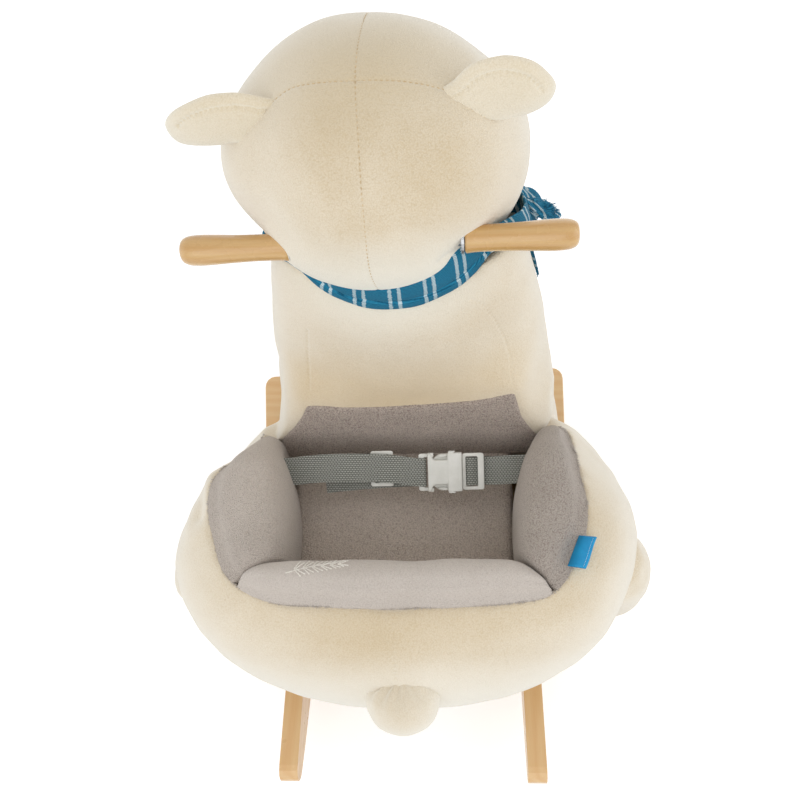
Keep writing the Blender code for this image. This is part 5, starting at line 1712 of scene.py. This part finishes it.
def makeTag():
    turned = Matrix.Rotation(tag["turn"], 4, "Z") @ Matrix.Rotation(tag["droop"], 4, "Y")
    turned = Matrix.Translation(tag["place"]) @ turned
    reach, half = tag["reach"], tag["half"]
    rings = []
    for y in np.linspace(-half, half, 16):
        curl = 0.0006 * math.sin(y * 200)
        rings.append([(x * reach, y, z + curl * x + 0.0006) for x, z in tag["outside"] + tag["inside"]])
    mesh = skin("seatTag", rings)
    mesh.transform(turned)
    piece = addPiece("seatTag", mesh, "tag", replaces="label_tag")
    row = np.linspace(-half + 0.001, half - 0.001, 12)
    line = [turned @ Vector((reach * 0.86, y, 0.0022)) for y in row]
    thread = dict(pitch=0.0013, length=0.0008, radius=0.00018, lift=0.00005)
    stitches = stitchRow("tagStitches", piece, line, "tagThread", **thread)


makeTag()
print("tag made")

# A stitched sprig on the rear bolster

sprig = {
    "place": (-0.059, -0.15),
    "turn": math.radians(8),
    "stem": [((-0.024, -0.002), (0.0, 0.001)), ((0.0, 0.001), (0.024, 0.003))],
    "leaves": (-0.017, -0.01, -0.003, 0.004, 0.011, 0.017),
}


def makeSprig():
    points, faces, tree = [], [], finder(rearBolster)
    strokes = list(sprig["stem"])
    for i, x in enumerate(sprig["leaves"]):
        reach = 0.0075 - 0.0007 * i
        strokes += [((x, 0.0), (x + 0.005, reach)), ((x, 0.0), (x + 0.005, -reach + 0.001))]
        strokes += [((x + 0.0012, 0.0), (x + 0.0085, share * reach)) for share in (0.75, -0.7)]
    (x, y), c, s = sprig["place"], math.cos(sprig["turn"]), math.sin(sprig["turn"])
    for start, end in strokes:
        spots = []
        for t in np.linspace(0, 1, 5):
            u, v = start[0] + (end[0] - start[0]) * t, start[1] + (end[1] - start[1]) * t
            hit, normal = landed(tree, (x + c * u - s * v, y + s * u + c * v, above), downwards)
            spots.append(hit + normal * 0.00025)
        for a, b in zip(spots, spots[1:]):
            addCapsule(points, faces, a, b, 0.00055)
    addPiece("sprigStitches", meshOf("sprigStitches", points, faces), "motif")


makeSprig()
print("sprig made")

# Floor, lamps and backdrop

studio = {
    "zenith": 0.62,
    "horizon": 1.02,
    "floorGlow": 0.45,
    "floorHalf": 4.0,
    "floorLevel": -0.0005,
    "lampSize": 1.5,
    "aim": Vector((0, 0, 0.28)),
    "lamps": {  # place and power
        "leftLamp": ((-1.6, -0.3, 0.85), 3.5),
        "rightLamp": ((1.6, -0.3, 0.85), 6.0),
        "rearLamp": ((-0.2, -1.45, 1.25), 7.0),
        "frontLamp": ((0.2, 1.7, 0.9), 3.0),
    },
}
white = (1, 1, 1, 1)


def twoFaced(tree, lit, seen, ending):  # the camera, gloss and glass see another shader than the light does
    path = put(tree, "LightPath").outputs
    mirrored = sums(tree, "MAXIMUM", path["Is Glossy Ray"], path["Is Transmission Ray"])
    direct = sums(tree, "MAXIMUM", path["Is Camera Ray"], mirrored)
    mixed = put(tree, "MixShader", {0: direct, 1: lit, 2: seen}).outputs[0]
    tree.links.new(mixed, tree.nodes[ending].inputs["Surface"])


def makeFloor():
    material = bpy.data.materials.new("paleFloor")
    material.use_nodes = True
    tree = material.node_tree
    tree.nodes.remove(tree.nodes["Principled BSDF"])
    cloud = clouds(tree, put(tree, "TexCoord").outputs["Object"], 3.0, 2.0)
    pale = blendColours(tree, cloud, (0.8, 0.8, 0.8, 1), (0.82, 0.82, 0.81, 1))
    plain = put(tree, "BsdfDiffuse", {"Color": pale}).outputs[0]
    glow = put(tree, "Emission", {"Color": white, "Strength": studio["floorGlow"]}).outputs[0]
    twoFaced(tree, plain, put(tree, "AddShader", {0: plain, 1: glow}).outputs[0], "Material Output")
    grid = dict(x_segments=8, y_segments=8, size=studio["floorHalf"])
    mesh = reworked(bpy.data.meshes.new("floor"), lambda form: bmesh.ops.create_grid(form, **grid))
    mesh.materials.append(material)
    floor = placed("floor", mesh)
    floor.location.z = studio["floorLevel"]


def makeWorld():
    world = bpy.data.worlds.new("studio")
    bpy.context.scene.world = world
    world.use_nodes = True
    tree = world.node_tree
    level = put(tree, "SeparateXYZ", {0: put(tree, "TexCoord").outputs["Generated"]}).outputs["Z"]
    glow = spread(tree, level, 0.0, 1.0, studio["horizon"], studio["zenith"])
    looks = [put(tree, "Background", {"Color": white, "Strength": s}).outputs[0] for s in (glow, 1.0)]
    twoFaced(tree, *looks, "World Output")


def makeLamps():
    for name, (place, power) in studio["lamps"].items():
        lamp = bpy.data.lights.new(name, "AREA")
        lamp.energy = power
        lamp.size = studio["lampSize"]
        lit = placed(name, lamp)
        lit.location = place
        lit.rotation_euler = (studio["aim"] - Vector(place)).to_track_quat("-Z", "Y").to_euler()


makeFloor()
makeWorld()
makeLamps()
bpy.context.scene.view_settings.view_transform = "Standard"
print("studio made")
